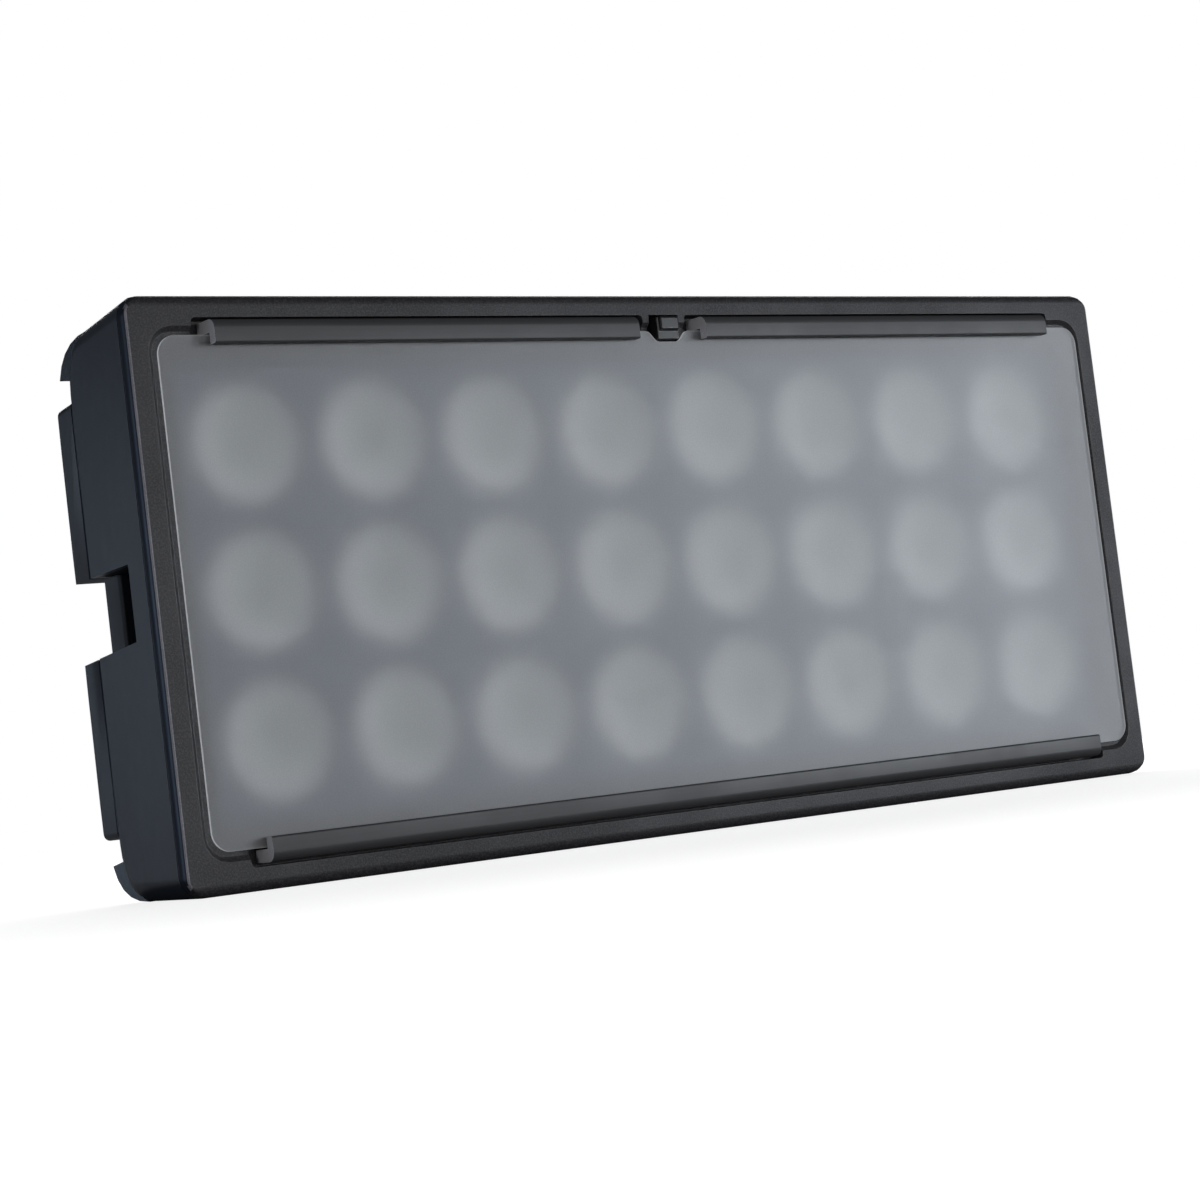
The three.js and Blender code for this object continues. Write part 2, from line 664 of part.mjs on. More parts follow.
function heatSink() {
  const base = block(-sinkWidth / 2, sinkWidth / 2, sinkFront, sinkBack, -sinkHeight / 2, sinkHeight / 2);
  const count = Math.floor(finRowWidth / finPitch) + 1;
  const fins = spread(count, finPitch).map((x) => block(x - finThickness / 2, x + finThickness / 2,
    sinkBack - overrun / 2, sinkBack + finHeight, -finLength / 2, finLength / 2));
  const latchHalf = guideHalfWidth + slideGap;
  const latch = block(-latchHalf, latchHalf, bezelDepth, guideBack + latchTravel + slideGap,
    latchCatchEdge - slideGap, caseHeight / 2);
  const room = finPitch / 2;
  const supply = block(-supplyWidth / 2 - room, supplyWidth / 2 + room, supplyFront - fitGap, seamDepth,
    -caseHeight / 2, supplyCentreZ + supplyHeight / 2 + room);
  return cut(join([base, ...fins]), [...pocketRooms(), supply, latch]);
}

// Main housing: the tapered tray between the bezel and the rear cover.
function mainHousing() {
  const front = bezelRimDepth + fitGap;
  const wallFront = seamDepth - caseWall;
  const bosses = sides.flatMap(([, side]) => ends.map(([, end]) => rod(bossRadius, sinkBack + fitGap,
    seamDepth - caseWall / 2, side * (caseWidth / 2 - bossSideInset), end * (caseHeight / 2 - bossEndInset),
    smallSides)));
  const hollow = cut(caseForm(front, 0), [caseForm(front - overrun, caseWall)]);
  const fanHoles = spread(fanCount, fanPitch).map((x) => rod(fanBore / 2, wallFront - overrun,
    seamDepth + overrun, x, fanHeight, boreSides));
  const slots = ends.flatMap(([, end]) => spread(ventSlotCount, ventSlotPitch).map((x) => {
    const outer = end * (caseHeight / 2 + overrun);
    const inner = end * (caseHeight / 2 - caseWall - overrun);
    return block(x - ventSlotWidth / 2, x + ventSlotWidth / 2, ventRowDepth - ventSlotLength / 2,
      ventRowDepth + ventSlotLength / 2, Math.min(inner, outer), Math.max(inner, outer));
  }));
  const notches = sides.map(([, side]) => notchCut(side, pocketFloorX, notchFront));
  const wire = rod(socketRadius, wallFront - overrun, seamDepth + overrun, 0, bayTop);
  const pilots = screwPlaces().map(([x, z]) => rod(screwRadius + slideGap, wallFront - overrun,
    seamDepth + overrun, x, z, smallSides));
  return cut(join([hollow, ...bosses]), [...fanHoles, ...slots, ...notches, wire, ...pilots]);
}

function screwPlaces() {
  return sides.flatMap(([, side]) => ends.map(([, end]) => [side * screwX, end * screwZ]));
}

// Side pocket: the moulded cup behind each side notch, open to the side and to the rear.
function sidePocket(side) {
  const half = notchHalfRear + pocketWall;
  const cup = sideBlock(side, pocketFloorX - pocketWall, caseWidth / 2, notchFront - pocketWall,
    seamDepth - caseWall - fitGap, -half, half);
  const inside = cup.intersect(caseForm(bezelRimDepth, caseWall + fitGap));
  const { barMiddleX, barMiddleY } = barPlace();
  const tenonX = tenonThickness / 2 + fitGap;
  const tenonY = tenonDepth / 2 + fitGap;
  const sockets = sideBlock(side, barMiddleX - tenonX, barMiddleX + tenonX, barMiddleY - tenonY,
    barMiddleY + tenonY, -half - overrun, half + overrun);
  return cut(inside, [notchCut(side, pocketFloorX, notchFront), sockets]);
}

function barPlace() {
  return { barMiddleX: barOuterX - barThickness / 2, barMiddleY: seamDepth - fitGap - barDepth / 2 };
}

// Side bar: an upright with rounded edges, its tenons held in the pocket's two walls.
function sideBar(side) {
  const { barMiddleX, barMiddleY } = barPlace();
  const slope = (notchHalfRear - notchHalfFront) / (seamDepth + coverDepth - notchFront);
  const half = notchHalfFront + slope * (barMiddleY - barDepth / 2 - notchFront) - fitGap;
  const outline = new THREE.Shape();
  const halfX = barThickness / 2 - barEdgeRadius;
  const halfY = barDepth / 2 - barEdgeRadius;
  for (const [sideX, sideY, turn] of [[1, -1, -1 / 2], [1, 1, 0], [-1, 1, 1 / 2], [-1, -1, 1]]) {
    outline.absarc(side * barMiddleX + sideX * halfX, barMiddleY + sideY * halfY, barEdgeRadius,
      turn * Math.PI, (turn + 1 / 2) * Math.PI, false);
  }
  const tenon = notchHalfRear + pocketWall;
  return join([barAlongZ(outline, -half, half, keySteps), sideBlock(side, barMiddleX - tenonThickness / 2,
    barMiddleX + tenonThickness / 2, barMiddleY - tenonDepth / 2, barMiddleY + tenonDepth / 2,
    -tenon, tenon)]);
}

// Rear cover: a shallow shell behind the seam, with the fan openings, intake slots and the bay
// that holds the sockets and the control panel below the case's rear plane.
const coverFront = seamDepth + fitGap;
const coverBack = seamDepth + coverDepth;
const bayFloor = coverBack - bayDepth;

function coverForm(y0, inset) {
  const half = coverHeight / 2 - inset;
  const width = (y) => caseHalfWidth(y) - coverSideStep - inset;
  const bend = coverBack - coverSlopeDepth;
  const back = coverBack - inset;
  const radius = Math.max(coverCornerRadius - inset, fitGap);
  return skinned([roundedRing(width(y0), half, radius, y0),
    roundedRing(width(bend), half, radius, bend - inset / 2),
    roundedRing(width(back) - coverSideBevel, half - coverSlopeHeight, radius, back)]);
}

// Cuts the slopes by which the rear face falls towards a side notch.
function notchSlopes(side) {
  const top = notchHalfRear + notchSlopeHeight;
  const low = coverBack - notchSlopeDepth;
  const section = new THREE.Shape([[coverBack, top], [low, notchHalfRear], [low, -notchHalfRear],
    [coverBack, -top], [coverBack + overrun, -top], [coverBack + overrun, top]].map(([y, z]) => (
    new THREE.Vector2(y, z))));
  return side > 0 ? barAlongX(section, coverNotchX, caseWidth / 2)
    : barAlongX(section, -caseWidth / 2, -coverNotchX);
}

function rearCover() {
  const shell = coverForm(coverFront, 0);
  const hollow = coverForm(coverFront - overrun, coverWall);
  const bayHalf = bayWidth / 2;
  const bayBox = block(-bayHalf - coverWall, bayHalf + coverWall, bayFloor - coverWall, coverBack,
    bayBottom - coverWall, bayTop + coverWall);
  const notchHalf = notchHalfRear + coverWall;
  const notchBoxes = sides.map(([, side]) => sideBlock(side, coverNotchX - coverWall, caseWidth / 2,
    coverFront, coverBack, -notchHalf, notchHalf));
  const slopeHalf = notchHalfRear + notchSlopeHeight;
  const slopeBoxes = sides.map(([, side]) => sideBlock(side, coverNotchX - coverWall, caseWidth / 2,
    coverBack - notchSlopeDepth - coverWall, coverBack, -slopeHalf, slopeHalf));
  const pillars = screwPlaces().map(([x, z]) => rod(pillarRadius, coverFront, coverBack - coverWall / 2,
    x, z));
  const filled = join([bayBox, ...notchBoxes, ...slopeBoxes, ...pillars]).intersect(shell);
  const bay = block(-bayHalf, bayHalf, bayFloor, coverBack + overrun, bayBottom, bayTop);
  const notches = sides.flatMap(([, side]) => [notchCut(side, coverNotchX, coverFront - overrun),
    notchSlopes(side)]);
  const fans = spread(fanCount, fanPitch).map((x) => rod(fanBore / 2 + slideGap,
    coverBack - coverWall - overrun, coverBack + overrun, x, fanHeight, boreSides));
  const slotPlaces = spread(fanCount + 1, fanPitch).flatMap((middle) => (
    spread(coverSlotCount, coverSlotPitch).map((offset) => middle + offset)));
  const slots = slotPlaces.map((x) => block(x - ventSlotWidth / 2, x + ventSlotWidth / 2,
    coverBack - coverWall - overrun, coverBack + overrun, fanHeight - coverSlotLength / 2,
    fanHeight + coverSlotLength / 2));
  const panelHole = block(-panelWidth / 2 + panelMargin, panelWidth / 2 - panelMargin,
    bayFloor - coverWall - overrun, bayFloor + overrun, panelBottom + panelMargin, panelTop - panelMargin);
  const socketHoles = connectorPlaces().map((x) => rod(connectorBodyRadius + fitGap,
    bayFloor - coverWall - overrun, bayFloor + overrun, x, connectorZ));
  const screws = screwPlaces().flatMap(([x, z]) => [
    rod(screwRadius + slideGap, coverFront - overrun, coverBack + overrun, x, z, smallSides),
    rod(screwHeadRadius + slideGap, coverBack - screwHeadThickness - fitGap, coverBack + overrun, x, z)]);
  return cut(shell.subtract(hollow).add(filled),
    [bay, ...notches, ...fans, ...slots, panelHole, ...socketHoles, ...screws]);
}

// Screw of the rear cover, through its pillar into the case's rear wall.
function coverScrew(x, z) {
  const headTop = coverBack - fitGap;
  const headBottom = headTop - screwHeadThickness + fitGap;
  const tip = seamDepth - caseWall - screwTip;
  return turned([[0, tip], [screwRadius, tip + screwRadius / 2], [screwRadius, headBottom],
    [screwHeadRadius, headBottom], [screwHeadRadius, headTop - screwHeadThickness / 3],
    [screwHeadRadius * 2 / 3, headTop], [0, headTop]], x, z, smallSides);
}

// Rear rail: the hooked lip that wraps the case's rear corner and makes a channel with the cover.
function rearRail(end) {
  const bend = rearCornerRadius + fitGap;
  const centreZ = caseHeight / 2 - rearCornerRadius;
  const start = rearRailStart / 180 * Math.PI;
  const startY = bendDepth + bend * Math.cos(start);
  const section = new THREE.Shape();
  section.moveTo(startY, caseHeight / 2);
  section.absarc(bendDepth, centreZ, bend, start, 0, true);
  section.lineTo(bendDepth + bend, rearRailFootHeight);
  section.lineTo(rearRailFootDepth, rearRailFootHeight);
  section.lineTo(rearRailTipDepth, rearRailTipHeight);
  section.quadraticCurveTo(rearRailTipDepth - bend * rearRailBendShare, caseHeight / 2,
    startY, caseHeight / 2);
  const rail = barAlongX(section, -rearRailHalfLength, rearRailHalfLength, railSteps);
  return end > 0 ? rail : rail.mirror([0, 0, 1]);
}

// Fan: a square frame with a motor on four struts, a bladed rotor on its pin, and a wire guard.
const fanBack = coverBack - coverWall - fitGap;
const fanFront = fanBack - fanDepth;
const rotorFront = fanFront + fanStrutDepth + slideGap;

function fanFrame(x) {
  const outline = roundedOutline(fanSize / 2, fanSize / 2, fanCornerRadius, x, fanHeight);
  const bore = rod(fanBore / 2, fanFront - overrun, fanBack + overrun, x, fanHeight);
  const square = plate(outline, fanFront, fanBack, keySteps).subtract(bore);
  const reach = fanBore / 2 + fanCornerRadius / 2;
  const half = fanStrutWidth / 2;
  const struts = [
    block(x - reach, x + reach, fanFront, fanFront + fanStrutDepth, fanHeight - half, fanHeight + half),
    block(x - half, x + half, fanFront, fanFront + fanStrutDepth, fanHeight - reach, fanHeight + reach)];
  const motor = rod(fanHubRadius, fanFront, fanFront + fanStrutDepth, x, fanHeight);
  const pin = rod(fanPinRadius, fanFront, rotorFront + fanHubLength / 2, x, fanHeight, smallSides);
  return join([square, ...struts, motor, pin]);
}

function fanBlade(turn) {
  const outward = new THREE.Vector3(Math.cos(turn), 0, Math.sin(turn));
  const around = new THREE.Vector3(-Math.sin(turn), 0, Math.cos(turn));
  const middle = rotorFront + fanHubLength / 2;
  const tipRadius = fanBore / 2;
  const arc = Math.PI * 2 / fanBlades;
  const ring = (share) => {
    const radius = THREE.MathUtils.lerp(fanHubRadius - bladeThickness, tipRadius, share);
    const width = THREE.MathUtils.lerp(fanHubRadius * bladeRootShare, tipRadius * bladeTipShare, share);
    const chord = width * arc / 2;
    const pitch = THREE.MathUtils.lerp(bladeRootPitch, bladeTipPitch, share) / 180 * Math.PI;
    const flat = around.clone().multiplyScalar(Math.cos(pitch));
    flat.y = Math.sin(pitch);
    const normal = around.clone().multiplyScalar(-Math.sin(pitch));
    normal.y = Math.cos(pitch);
    const corners = [[-1, -1], [1, -1], [1, 1], [-1, 1]];
    return corners.map(([along, through]) => outward.clone().multiplyScalar(radius)
      .addScaledVector(flat, along * chord).addScaledVector(normal, through * bladeThickness / 2)
      .add(new THREE.Vector3(0, middle, 0)));
  };
  return skinned([ring(0), ring(1)]);
}

function fanRotor(x) {
  const back = rotorFront + fanHubLength;
  const hub = turned([[0, rotorFront], [fanHubRadius, rotorFront], [fanHubRadius, back - bladeThickness],
    [fanHubRadius - bladeThickness, back], [0, back]], 0, 0);
  const blades = range(fanBlades).map((index) => fanBlade(index / fanBlades * Math.PI * 2));
  const bore = rod(fanPinRadius + fitGap, rotorFront - overrun, rotorFront + fanHubLength / 2 + fitGap,
    0, 0, smallSides);
  const sweep = rod(fanBore / 2 - fanTipGap, rotorFront, back, 0, 0);
  return cut(join([hub, ...blades]).intersect(sweep), [bore]).translate([x, 0, fanHeight]);
}

function fanGuard(x) {
  const outer = fanBore / 2 - fitGap;
  const front = fanBack + fitGap;
  const ringStep = (outer - guardRingWidth) / guardRings;
  const back = front + guardThickness;
  const ring = (radius) => rod(radius, front, back, x, fanHeight, ringSides)
    .subtract(rod(radius - guardRingWidth, front - overrun, back + overrun, x, fanHeight, ringSides));
  const rings = range(guardRings).map((index) => ring(outer - index * ringStep));
  const spokes = range(guardSpokes / 2).map((index) => {
    const angle = (index + 1 / 2) / (guardSpokes / 2) * Math.PI;
    const long = outer - guardRingWidth / 2;
    const spoke = new THREE.BoxGeometry(long * 2, guardThickness, guardRingWidth);
    return solid(spoke.rotateY(angle).translate(x, front + guardThickness / 2, fanHeight));
  });
  return join([...rings, ...spokes]);
}

// Power supply: a closed box on the case's rear wall, below the fans.
function powerSupply() {
  const half = supplyHeight / 2;
  return block(-supplyWidth / 2, supplyWidth / 2, supplyFront, supplyBack, supplyCentreZ - half,
    supplyCentreZ + half);
}

// Control panel in the bay, with the display's window, four keys and the board behind them.
const panelFront = bayFloor + fitGap;
const panelBack = panelFront + panelThickness;
const keyFlangeBack = panelFront - fitGap;
const keyFlangeFront = keyFlangeBack - keyFlangeThickness;
const switchBack = keyFlangeFront - keyTravel - fitGap;
const boardBack = switchBack - switchHeight;

function controlPanel() {
  const middle = (panelTop + panelBottom) / 2;
  const outline = roundedOutline(panelWidth / 2, (panelTop - panelBottom) / 2, keyRadius * 2, 0, middle);
  const holes = spread(keyCount, keyPitch).map((x) => {
    const hole = roundedOutline(keyWidth / 2 + fitGap, keyHeight / 2 + fitGap, keyRadius, x, keyZ);
    return plate(hole, panelFront - overrun, panelBack + overrun, keySteps);
  });
  const seat = block(-displayWidth / 2 - fitGap, displayWidth / 2 + fitGap, panelBack - displayDepth,
    panelBack + overrun, displayBottom - fitGap, displayTop + fitGap);
  return cut(plate(outline, panelFront, panelBack, edgeSteps), [...holes, seat]);
}

function displayPane() {
  const front = panelBack - displayDepth + fitGap;
  return block(-displayWidth / 2, displayWidth / 2, front, front + displayThickness, displayBottom, displayTop);
}

function menuKey(x) {
  const cap = roundedOutline(keyWidth / 2, keyHeight / 2, keyRadius, x, keyZ);
  const flange = roundedOutline(keyWidth / 2 + keyFlange, keyHeight / 2 + keyFlange, keyRadius, x, keyZ);
  return join([plate(cap, keyFlangeFront, panelBack + keyProud, keySteps),
    plate(flange, keyFlangeFront, keyFlangeBack, keySteps)]);
}

function controlBoard() {
  const halfWidth = panelWidth / 2 - panelMargin * 2;
  const top = panelTop - panelMargin * 2;
  const bottom = panelBottom + panelMargin * 2;
  const front = boardBack - controlBoardThickness;
  const board = block(-halfWidth, halfWidth, front, boardBack, bottom, top);
  const half = switchSize / 2;
  const switches = spread(keyCount, keyPitch).map((x) => block(x - half, x + half,
    boardBack - controlBoardThickness / 2, switchBack, keyZ - half, keyZ + half));
  const inset = standoffRadius * 2;
  const posts = sides.flatMap(([, side]) => [bottom + inset / 2, top - inset].map((z) => rod(standoffRadius,
    boardBack - controlBoardThickness / 2, panelFront - fitGap, side * (halfWidth - inset / 2), z,
    smallSides)));
  return join([board, ...switches, ...posts]);
}

// Sockets: power in and out on one side of the panel, data in and out on the other.
function connectorPlaces() {
  const free = (bayWidth - panelWidth) / 2 - connectorFlange * 2;
  const [panelGapShare, middleGapShare] = connectorGapShares;
  const inner = panelWidth / 2 + free * panelGapShare + connectorFlange / 2;
  const outer = inner + connectorFlange + free * middleGapShare;
  return [-outer, -inner, inner, outer];
}

function panelSocket(x, keyed) {
  const half = connectorFlange / 2;
  const flange = plate(roundedOutline(half, half, keyRadius, x, connectorZ), panelFront,
    panelFront + connectorFlangeThickness, keySteps);
  const collarBack = panelFront + connectorFlangeThickness + connectorCollarDepth;
  const collar = rod(connectorCollarRadius, panelFront, collarBack, x, connectorZ);
  const body = rod(connectorBodyRadius, panelFront - connectorBodyDepth, panelFront + overrun / 2,
    x, connectorZ);
  const cavity = rod(socketRadius, collarBack - socketDepth, collarBack + overrun, x, connectorZ);
  const keyways = keyed.map((side) => block(x - socketKeyWidth / 2, x + socketKeyWidth / 2,
    collarBack - socketDepth / 2, collarBack + overrun,
    connectorZ + Math.min(0, side * (socketRadius + socketKeyHeight)),
    connectorZ + Math.max(0, side * (socketRadius + socketKeyHeight))));
  return cut(join([flange, collar, body]), [cavity, ...keyways]);
}

const light = new THREE.Group();
light.name = 'matrix_stage_light';
light.position.set(0, (railFront - coverBack) / 2, caseHeight / 2);

const looks = {
  bezel: [0x3a3836, 0.62, 0.1],
  rail: [0x343436, 0.45, 0.5],
  diffuser: [0x8c9299, 0.5, 0],
  latch: [0x3c3b3a, 0.55, 0],
  steel: [0x9a9ca0, 0.35, 1],
  mask: [0x4a4e55, 0.7, 0],
  lens: [0xbcc4be, 0.3, 0],
  board: [0xd8dad6, 0.6, 0],
  aluminium: [0x85888c, 0.5, 0.9],
  housing: [0x23262d, 0.5, 0.1],
  pocket: [0x1e2127, 0.55, 0.1],
  bar: [0x282b32, 0.45, 0.4],
  fan: [0x17181a, 0.6, 0],
  supply: [0x8f9296, 0.45, 0.8],
  panel: [0x141517, 0.4, 0],
  pane: [0x0b0d10, 0.1, 0],
  key: [0x2b2d30, 0.6, 0],
  socket: [0x1a1b1d, 0.5, 0],
};

function addPiece(name, look, shape) {
  const [color, roughness, metalness] = looks[look];
  const material = new THREE.MeshStandardMaterial({ color, roughness, metalness });
  const mesh = new THREE.Mesh(geometryOf(shape), material);
  mesh.name = name;
  light.add(mesh);
}

addPiece('front_bezel', 'bezel', frontBezel());
addPiece('rail_top_left', 'rail', diffuserRail(1, -railEnd, -railInner));
addPiece('rail_top_right', 'rail', diffuserRail(1, railInner, railEnd));
addPiece('rail_bottom', 'rail', diffuserRail(-1, -railEnd, railEnd));
addPiece('diffuser_panel', 'diffuser', diffuserPanel());
addPiece('latch_button', 'latch', latchButton());
addPiece('latch_spring', 'steel', latchSpring());
addPiece('latch_guide', 'latch', latchGuide());
addPiece('lens_mask', 'mask', lensMask());
spread(lampColumns, lampPitch).forEach((x, index) => {
  addPiece(`lens_column_${index + 1}`, 'lens', lensColumn(x));
  addPiece(`lamp_board_${index + 1}`, 'board', lampBoard(x));
});
addPiece('heat_sink', 'aluminium', heatSink());
addPiece('main_housing', 'housing', mainHousing());
for (const [name, side] of sides) {
  addPiece(`side_pocket_${name}`, 'pocket', sidePocket(side));
  addPiece(`side_bar_${name}`, 'bar', sideBar(side));
}
addPiece('rear_cover', 'housing', rearCover());
for (const [name, end] of ends) {
  addPiece(`rear_rail_${name}`, 'housing', rearRail(end));
}
spread(fanCount, fanPitch).forEach((x, index) => {
  addPiece(`fan_frame_${index + 1}`, 'fan', fanFrame(x));
  addPiece(`fan_rotor_${index + 1}`, 'fan', fanRotor(x));
  addPiece(`fan_guard_${index + 1}`, 'steel', fanGuard(x));
});
addPiece('power_supply', 'supply', powerSupply());
addPiece('control_board', 'board', controlBoard());
addPiece('control_panel', 'panel', controlPanel());
addPiece('display_pane', 'pane', displayPane());
spread(keyCount, keyPitch).forEach((x, index) => addPiece(`menu_key_${index + 1}`, 'key', menuKey(x)));
const socketNames = ['power_inlet', 'power_outlet', 'data_inlet', 'data_outlet'];
connectorPlaces().forEach((x, index) => {
  const keyed = index < 2 ? [1, -1] : [1];
  addPiece(socketNames[index], 'socket', panelSocket(x, keyed));
});
screwPlaces().forEach(([x, z], index) => addPiece(`cover_screw_${index + 1}`, 'steel', coverScrew(x, z)));

export default light;
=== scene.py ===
from functools import cache
from math import copysign, cos, pi, radians, sin, tan

import bmesh
import bpy
from bpy.props import FloatProperty, FloatVectorProperty, IntProperty, PointerProperty
from bpy.types import Operator, Panel, PropertyGroup
from mathutils import Matrix, Vector


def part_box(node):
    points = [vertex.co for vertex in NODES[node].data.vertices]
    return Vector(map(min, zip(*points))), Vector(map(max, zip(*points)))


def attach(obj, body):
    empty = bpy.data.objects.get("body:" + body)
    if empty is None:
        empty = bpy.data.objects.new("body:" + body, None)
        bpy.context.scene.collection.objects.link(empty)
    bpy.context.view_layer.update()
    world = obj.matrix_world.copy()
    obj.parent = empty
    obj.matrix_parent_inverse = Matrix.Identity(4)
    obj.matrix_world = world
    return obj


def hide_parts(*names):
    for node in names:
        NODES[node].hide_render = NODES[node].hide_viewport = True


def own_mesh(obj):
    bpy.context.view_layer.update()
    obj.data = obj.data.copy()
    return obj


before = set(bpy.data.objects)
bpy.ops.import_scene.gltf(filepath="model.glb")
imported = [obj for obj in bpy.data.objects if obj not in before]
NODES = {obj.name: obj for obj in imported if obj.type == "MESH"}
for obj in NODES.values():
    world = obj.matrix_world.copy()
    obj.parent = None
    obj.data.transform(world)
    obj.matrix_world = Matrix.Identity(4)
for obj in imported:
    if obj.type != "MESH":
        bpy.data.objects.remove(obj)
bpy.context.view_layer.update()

bl_info = {
    "name": "Matrix Stage Light",
    "version": (1, 0, 0),
    "blender": (4, 5, 0),
    "location": "View3D > Sidebar > Stage Light",
    "description": "Dresses the frame of a flat matrix wash light and sets its studio",
    "category": "Object",
}


def nodes_named(start):
    return sorted(name for name in NODES if name.startswith(start))


CASE_LOW, CASE_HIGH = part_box("main_housing")
CASE_TAPER = 0.21  # how far each side of the case draws in over its depth
BEZEL_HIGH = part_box("front_bezel")[1]
MIDDLE_Z = (CASE_LOW.z + CASE_HIGH.z) / 2
LENS_COLUMNS = nodes_named("lens_column_")
LAMP_BOARDS = nodes_named("lamp_board_")
LAMP_ROWS = (-1, 0, 1)
FAN_NUMBERS = range(1, 1 + len(nodes_named("fan_frame_")))
KEY_NUMBERS = range(1, 1 + len(nodes_named("menu_key_")))
SCREWS = nodes_named("cover_screw_")
FIRST_EXTRA, SECOND_EXTRA = 1, 2  # indices of a piece's extra finishes
FACING = 0.9  # a face looks along an axis when its normal has more than this of it
SAME_PLACE = 1e-5  # metres


# Sizes and colours


def length(name, description, default):
    return FloatProperty(name=name, description=description, default=default, min=0.0, unit="LENGTH",
                         precision=5)


def share(name, description, default):
    return FloatProperty(name=name, description=description, default=default, min=0.0, max=1.0)


def count(name, description, default, low, high):
    return IntProperty(name=name, description=description, default=default, min=low, max=high)


def colour(name, description, default):
    return FloatVectorProperty(name=name, description=description, default=default, size=3, min=0.0,
                               max=1.0, subtype="COLOR")


class StageLightSizes(PropertyGroup):
    """Sizes of the edges and small parts that the frame doesn't give."""

    case_edge: length("Case edge", "Rounding of the moulded case's edges", 0.0005)
    bezel_edge: length("Bezel edge", "Rounding of the bezel's inner edges", 0.0004)
    rail_edge: length("Rail edge", "Rounding of the rails' small edges", 0.00025)
    sheet_corner: length("Sheet corner", "Radius of the frosted sheet's corners", 0.010)
    sheet_notch_round: length("Sheet notch round", "Radius of the corners of the sheet's notch", 0.0022)
    sheet_edge: length("Sheet edge", "Rounding of the frosted sheet's rim", 0.0003)
    latch_edge: length("Latch edge", "Rounding of the latch's edges", 0.0005)
    lens_radius: length("Lens radius", "Outer radius of a lens", 0.0309)
    lens_flange: length("Lens flange", "Outer radius of the flange round a lens", 0.0325)
    mask_hole_radius: length("Mask hole radius", "Radius of the mask's holes", 0.0328)
    lamp_pitch: length("Lamp pitch", "Distance from lamp to lamp", 0.07364)
    guard_wire: length("Guard wire", "Diameter of the fan guards' wire", 0.0023)
    fan_bore_radius: length("Fan bore radius", "Radius of the opening of a fan", 0.0375)
    pin_radius: length("Contact radius", "Radius of a contact pin in a data socket", 0.0009)
    small_edge: length("Small edge", "Rounding of keys, sockets and screws", 0.0003)
    round_steps: count("Round steps", "Sides of a turned piece", 64, 12, 128)
    fan_blades: count("Fan blades", "Blades of each fan", 7, 3, 13)


class StageLightColours(PropertyGroup):
    """Colours of the finishes."""

    bezel: colour("Bezel", "Dark warm grey of the front frame", (0.0165, 0.0156, 0.0172))
    rail: colour("Rail", "Satin dark grey of the rails", (0.050, 0.049, 0.051))
    latch: colour("Latch", "Dark grey of the latch", (0.0100, 0.0097, 0.0102))
    housing: colour("Housing", "Dark blue grey of the case", (0.0100, 0.0125, 0.0190))
    pocket: colour("Pocket", "Darker blue grey inside the side notches", (0.0150, 0.0180, 0.0280))
    bar: colour("Bar", "Satin paint of the side bars", (0.0110, 0.0130, 0.0190))
    sheet: colour("Sheet", "Cool tint of the frosted sheet", (0.45, 0.452, 0.468))
    # The rim's paler colour is partly its own and partly a painted highlight.
    sheet_rim: colour("Sheet rim", "Paler rim of the frosted sheet", (0.85, 0.88, 0.92))
    disc: colour("Lamp disc", "Pale green grey of the lenses behind the sheet", (0.74, 0.79, 0.75))
    between: colour("Between the lamps", "Grey of the mask between the lenses", (0.16, 0.19, 0.245))
    steel: colour("Steel", "Bright wire and screws", (0.42, 0.43, 0.45))
    aluminium: colour("Aluminium", "Plain extruded heat sink", (0.50, 0.51, 0.53))
    board: colour("Circuit board", "White coated circuit board", (0.62, 0.65, 0.62))
    fan: colour("Fan", "Black moulded fan", (0.012, 0.012, 0.013))
    panel: colour("Panel", "Satin black control panel", (0.010, 0.010, 0.012))
    key: colour("Key", "Soft dark grey keys", (0.045, 0.046, 0.050))
    socket: colour("Socket", "Black moulded sockets", (0.013, 0.013, 0.014))
    contact: colour("Contact", "Plated contacts", (0.58, 0.52, 0.36))
    floor: colour("Floor", "Pale studio floor, over its glow", (0.24, 0.24, 0.245))


def sizes():
    return bpy.context.scene.stage_light_sizes


def colours():
    return bpy.context.scene.stage_light_colours


# Node groups that the finishes share

NODE_SPACING = 180.0


def feed(node, values):
    """Sets a node's inputs by name or number: a socket is linked, and a value is set."""
    for label, value in values.items():
        if isinstance(value, bpy.types.NodeSocket):
            node.id_data.links.new(value, node.inputs[label])
        else:
            node.inputs[label].default_value = value
    return node


def add_node(tree, kind, values=(), **settings):
    """Adds a node to the right of the others, with its settings and its inputs' values or links."""
    node = tree.nodes.new(kind)
    node.location.x = NODE_SPACING * len(tree.nodes)
    for name, value in settings.items():
        setattr(node, name, value)
    return feed(node, dict(values))


def add_math(tree, operation, *values):
    return add_node(tree, "ShaderNodeMath", enumerate(values), operation=operation).outputs[0]


def times(tree, first, second):
    return add_math(tree, "MULTIPLY", first, second)


def add_range(tree, value, to_low, to_high, low=0.0, high=1.0, kind="LINEAR"):
    ends = {"Value": value, "From Min": low, "From Max": high, "To Min": to_low, "To Max": to_high}
    return add_node(tree, "ShaderNodeMapRange", ends, interpolation_type=kind).outputs[0]


def add_step(tree, value, low, high, to_low=0.0, to_high=1.0):
    """Eases from one value to another while its input goes from low to high."""
    return add_range(tree, value, to_low, to_high, low, high, "SMOOTHSTEP")


def add_noise(tree, place, scale, detail, roughness=0.5):
    values = {"Vector": place, "Scale": scale, "Detail": detail, "Roughness": roughness}
    return add_node(tree, "ShaderNodeTexNoise", values).outputs[0]


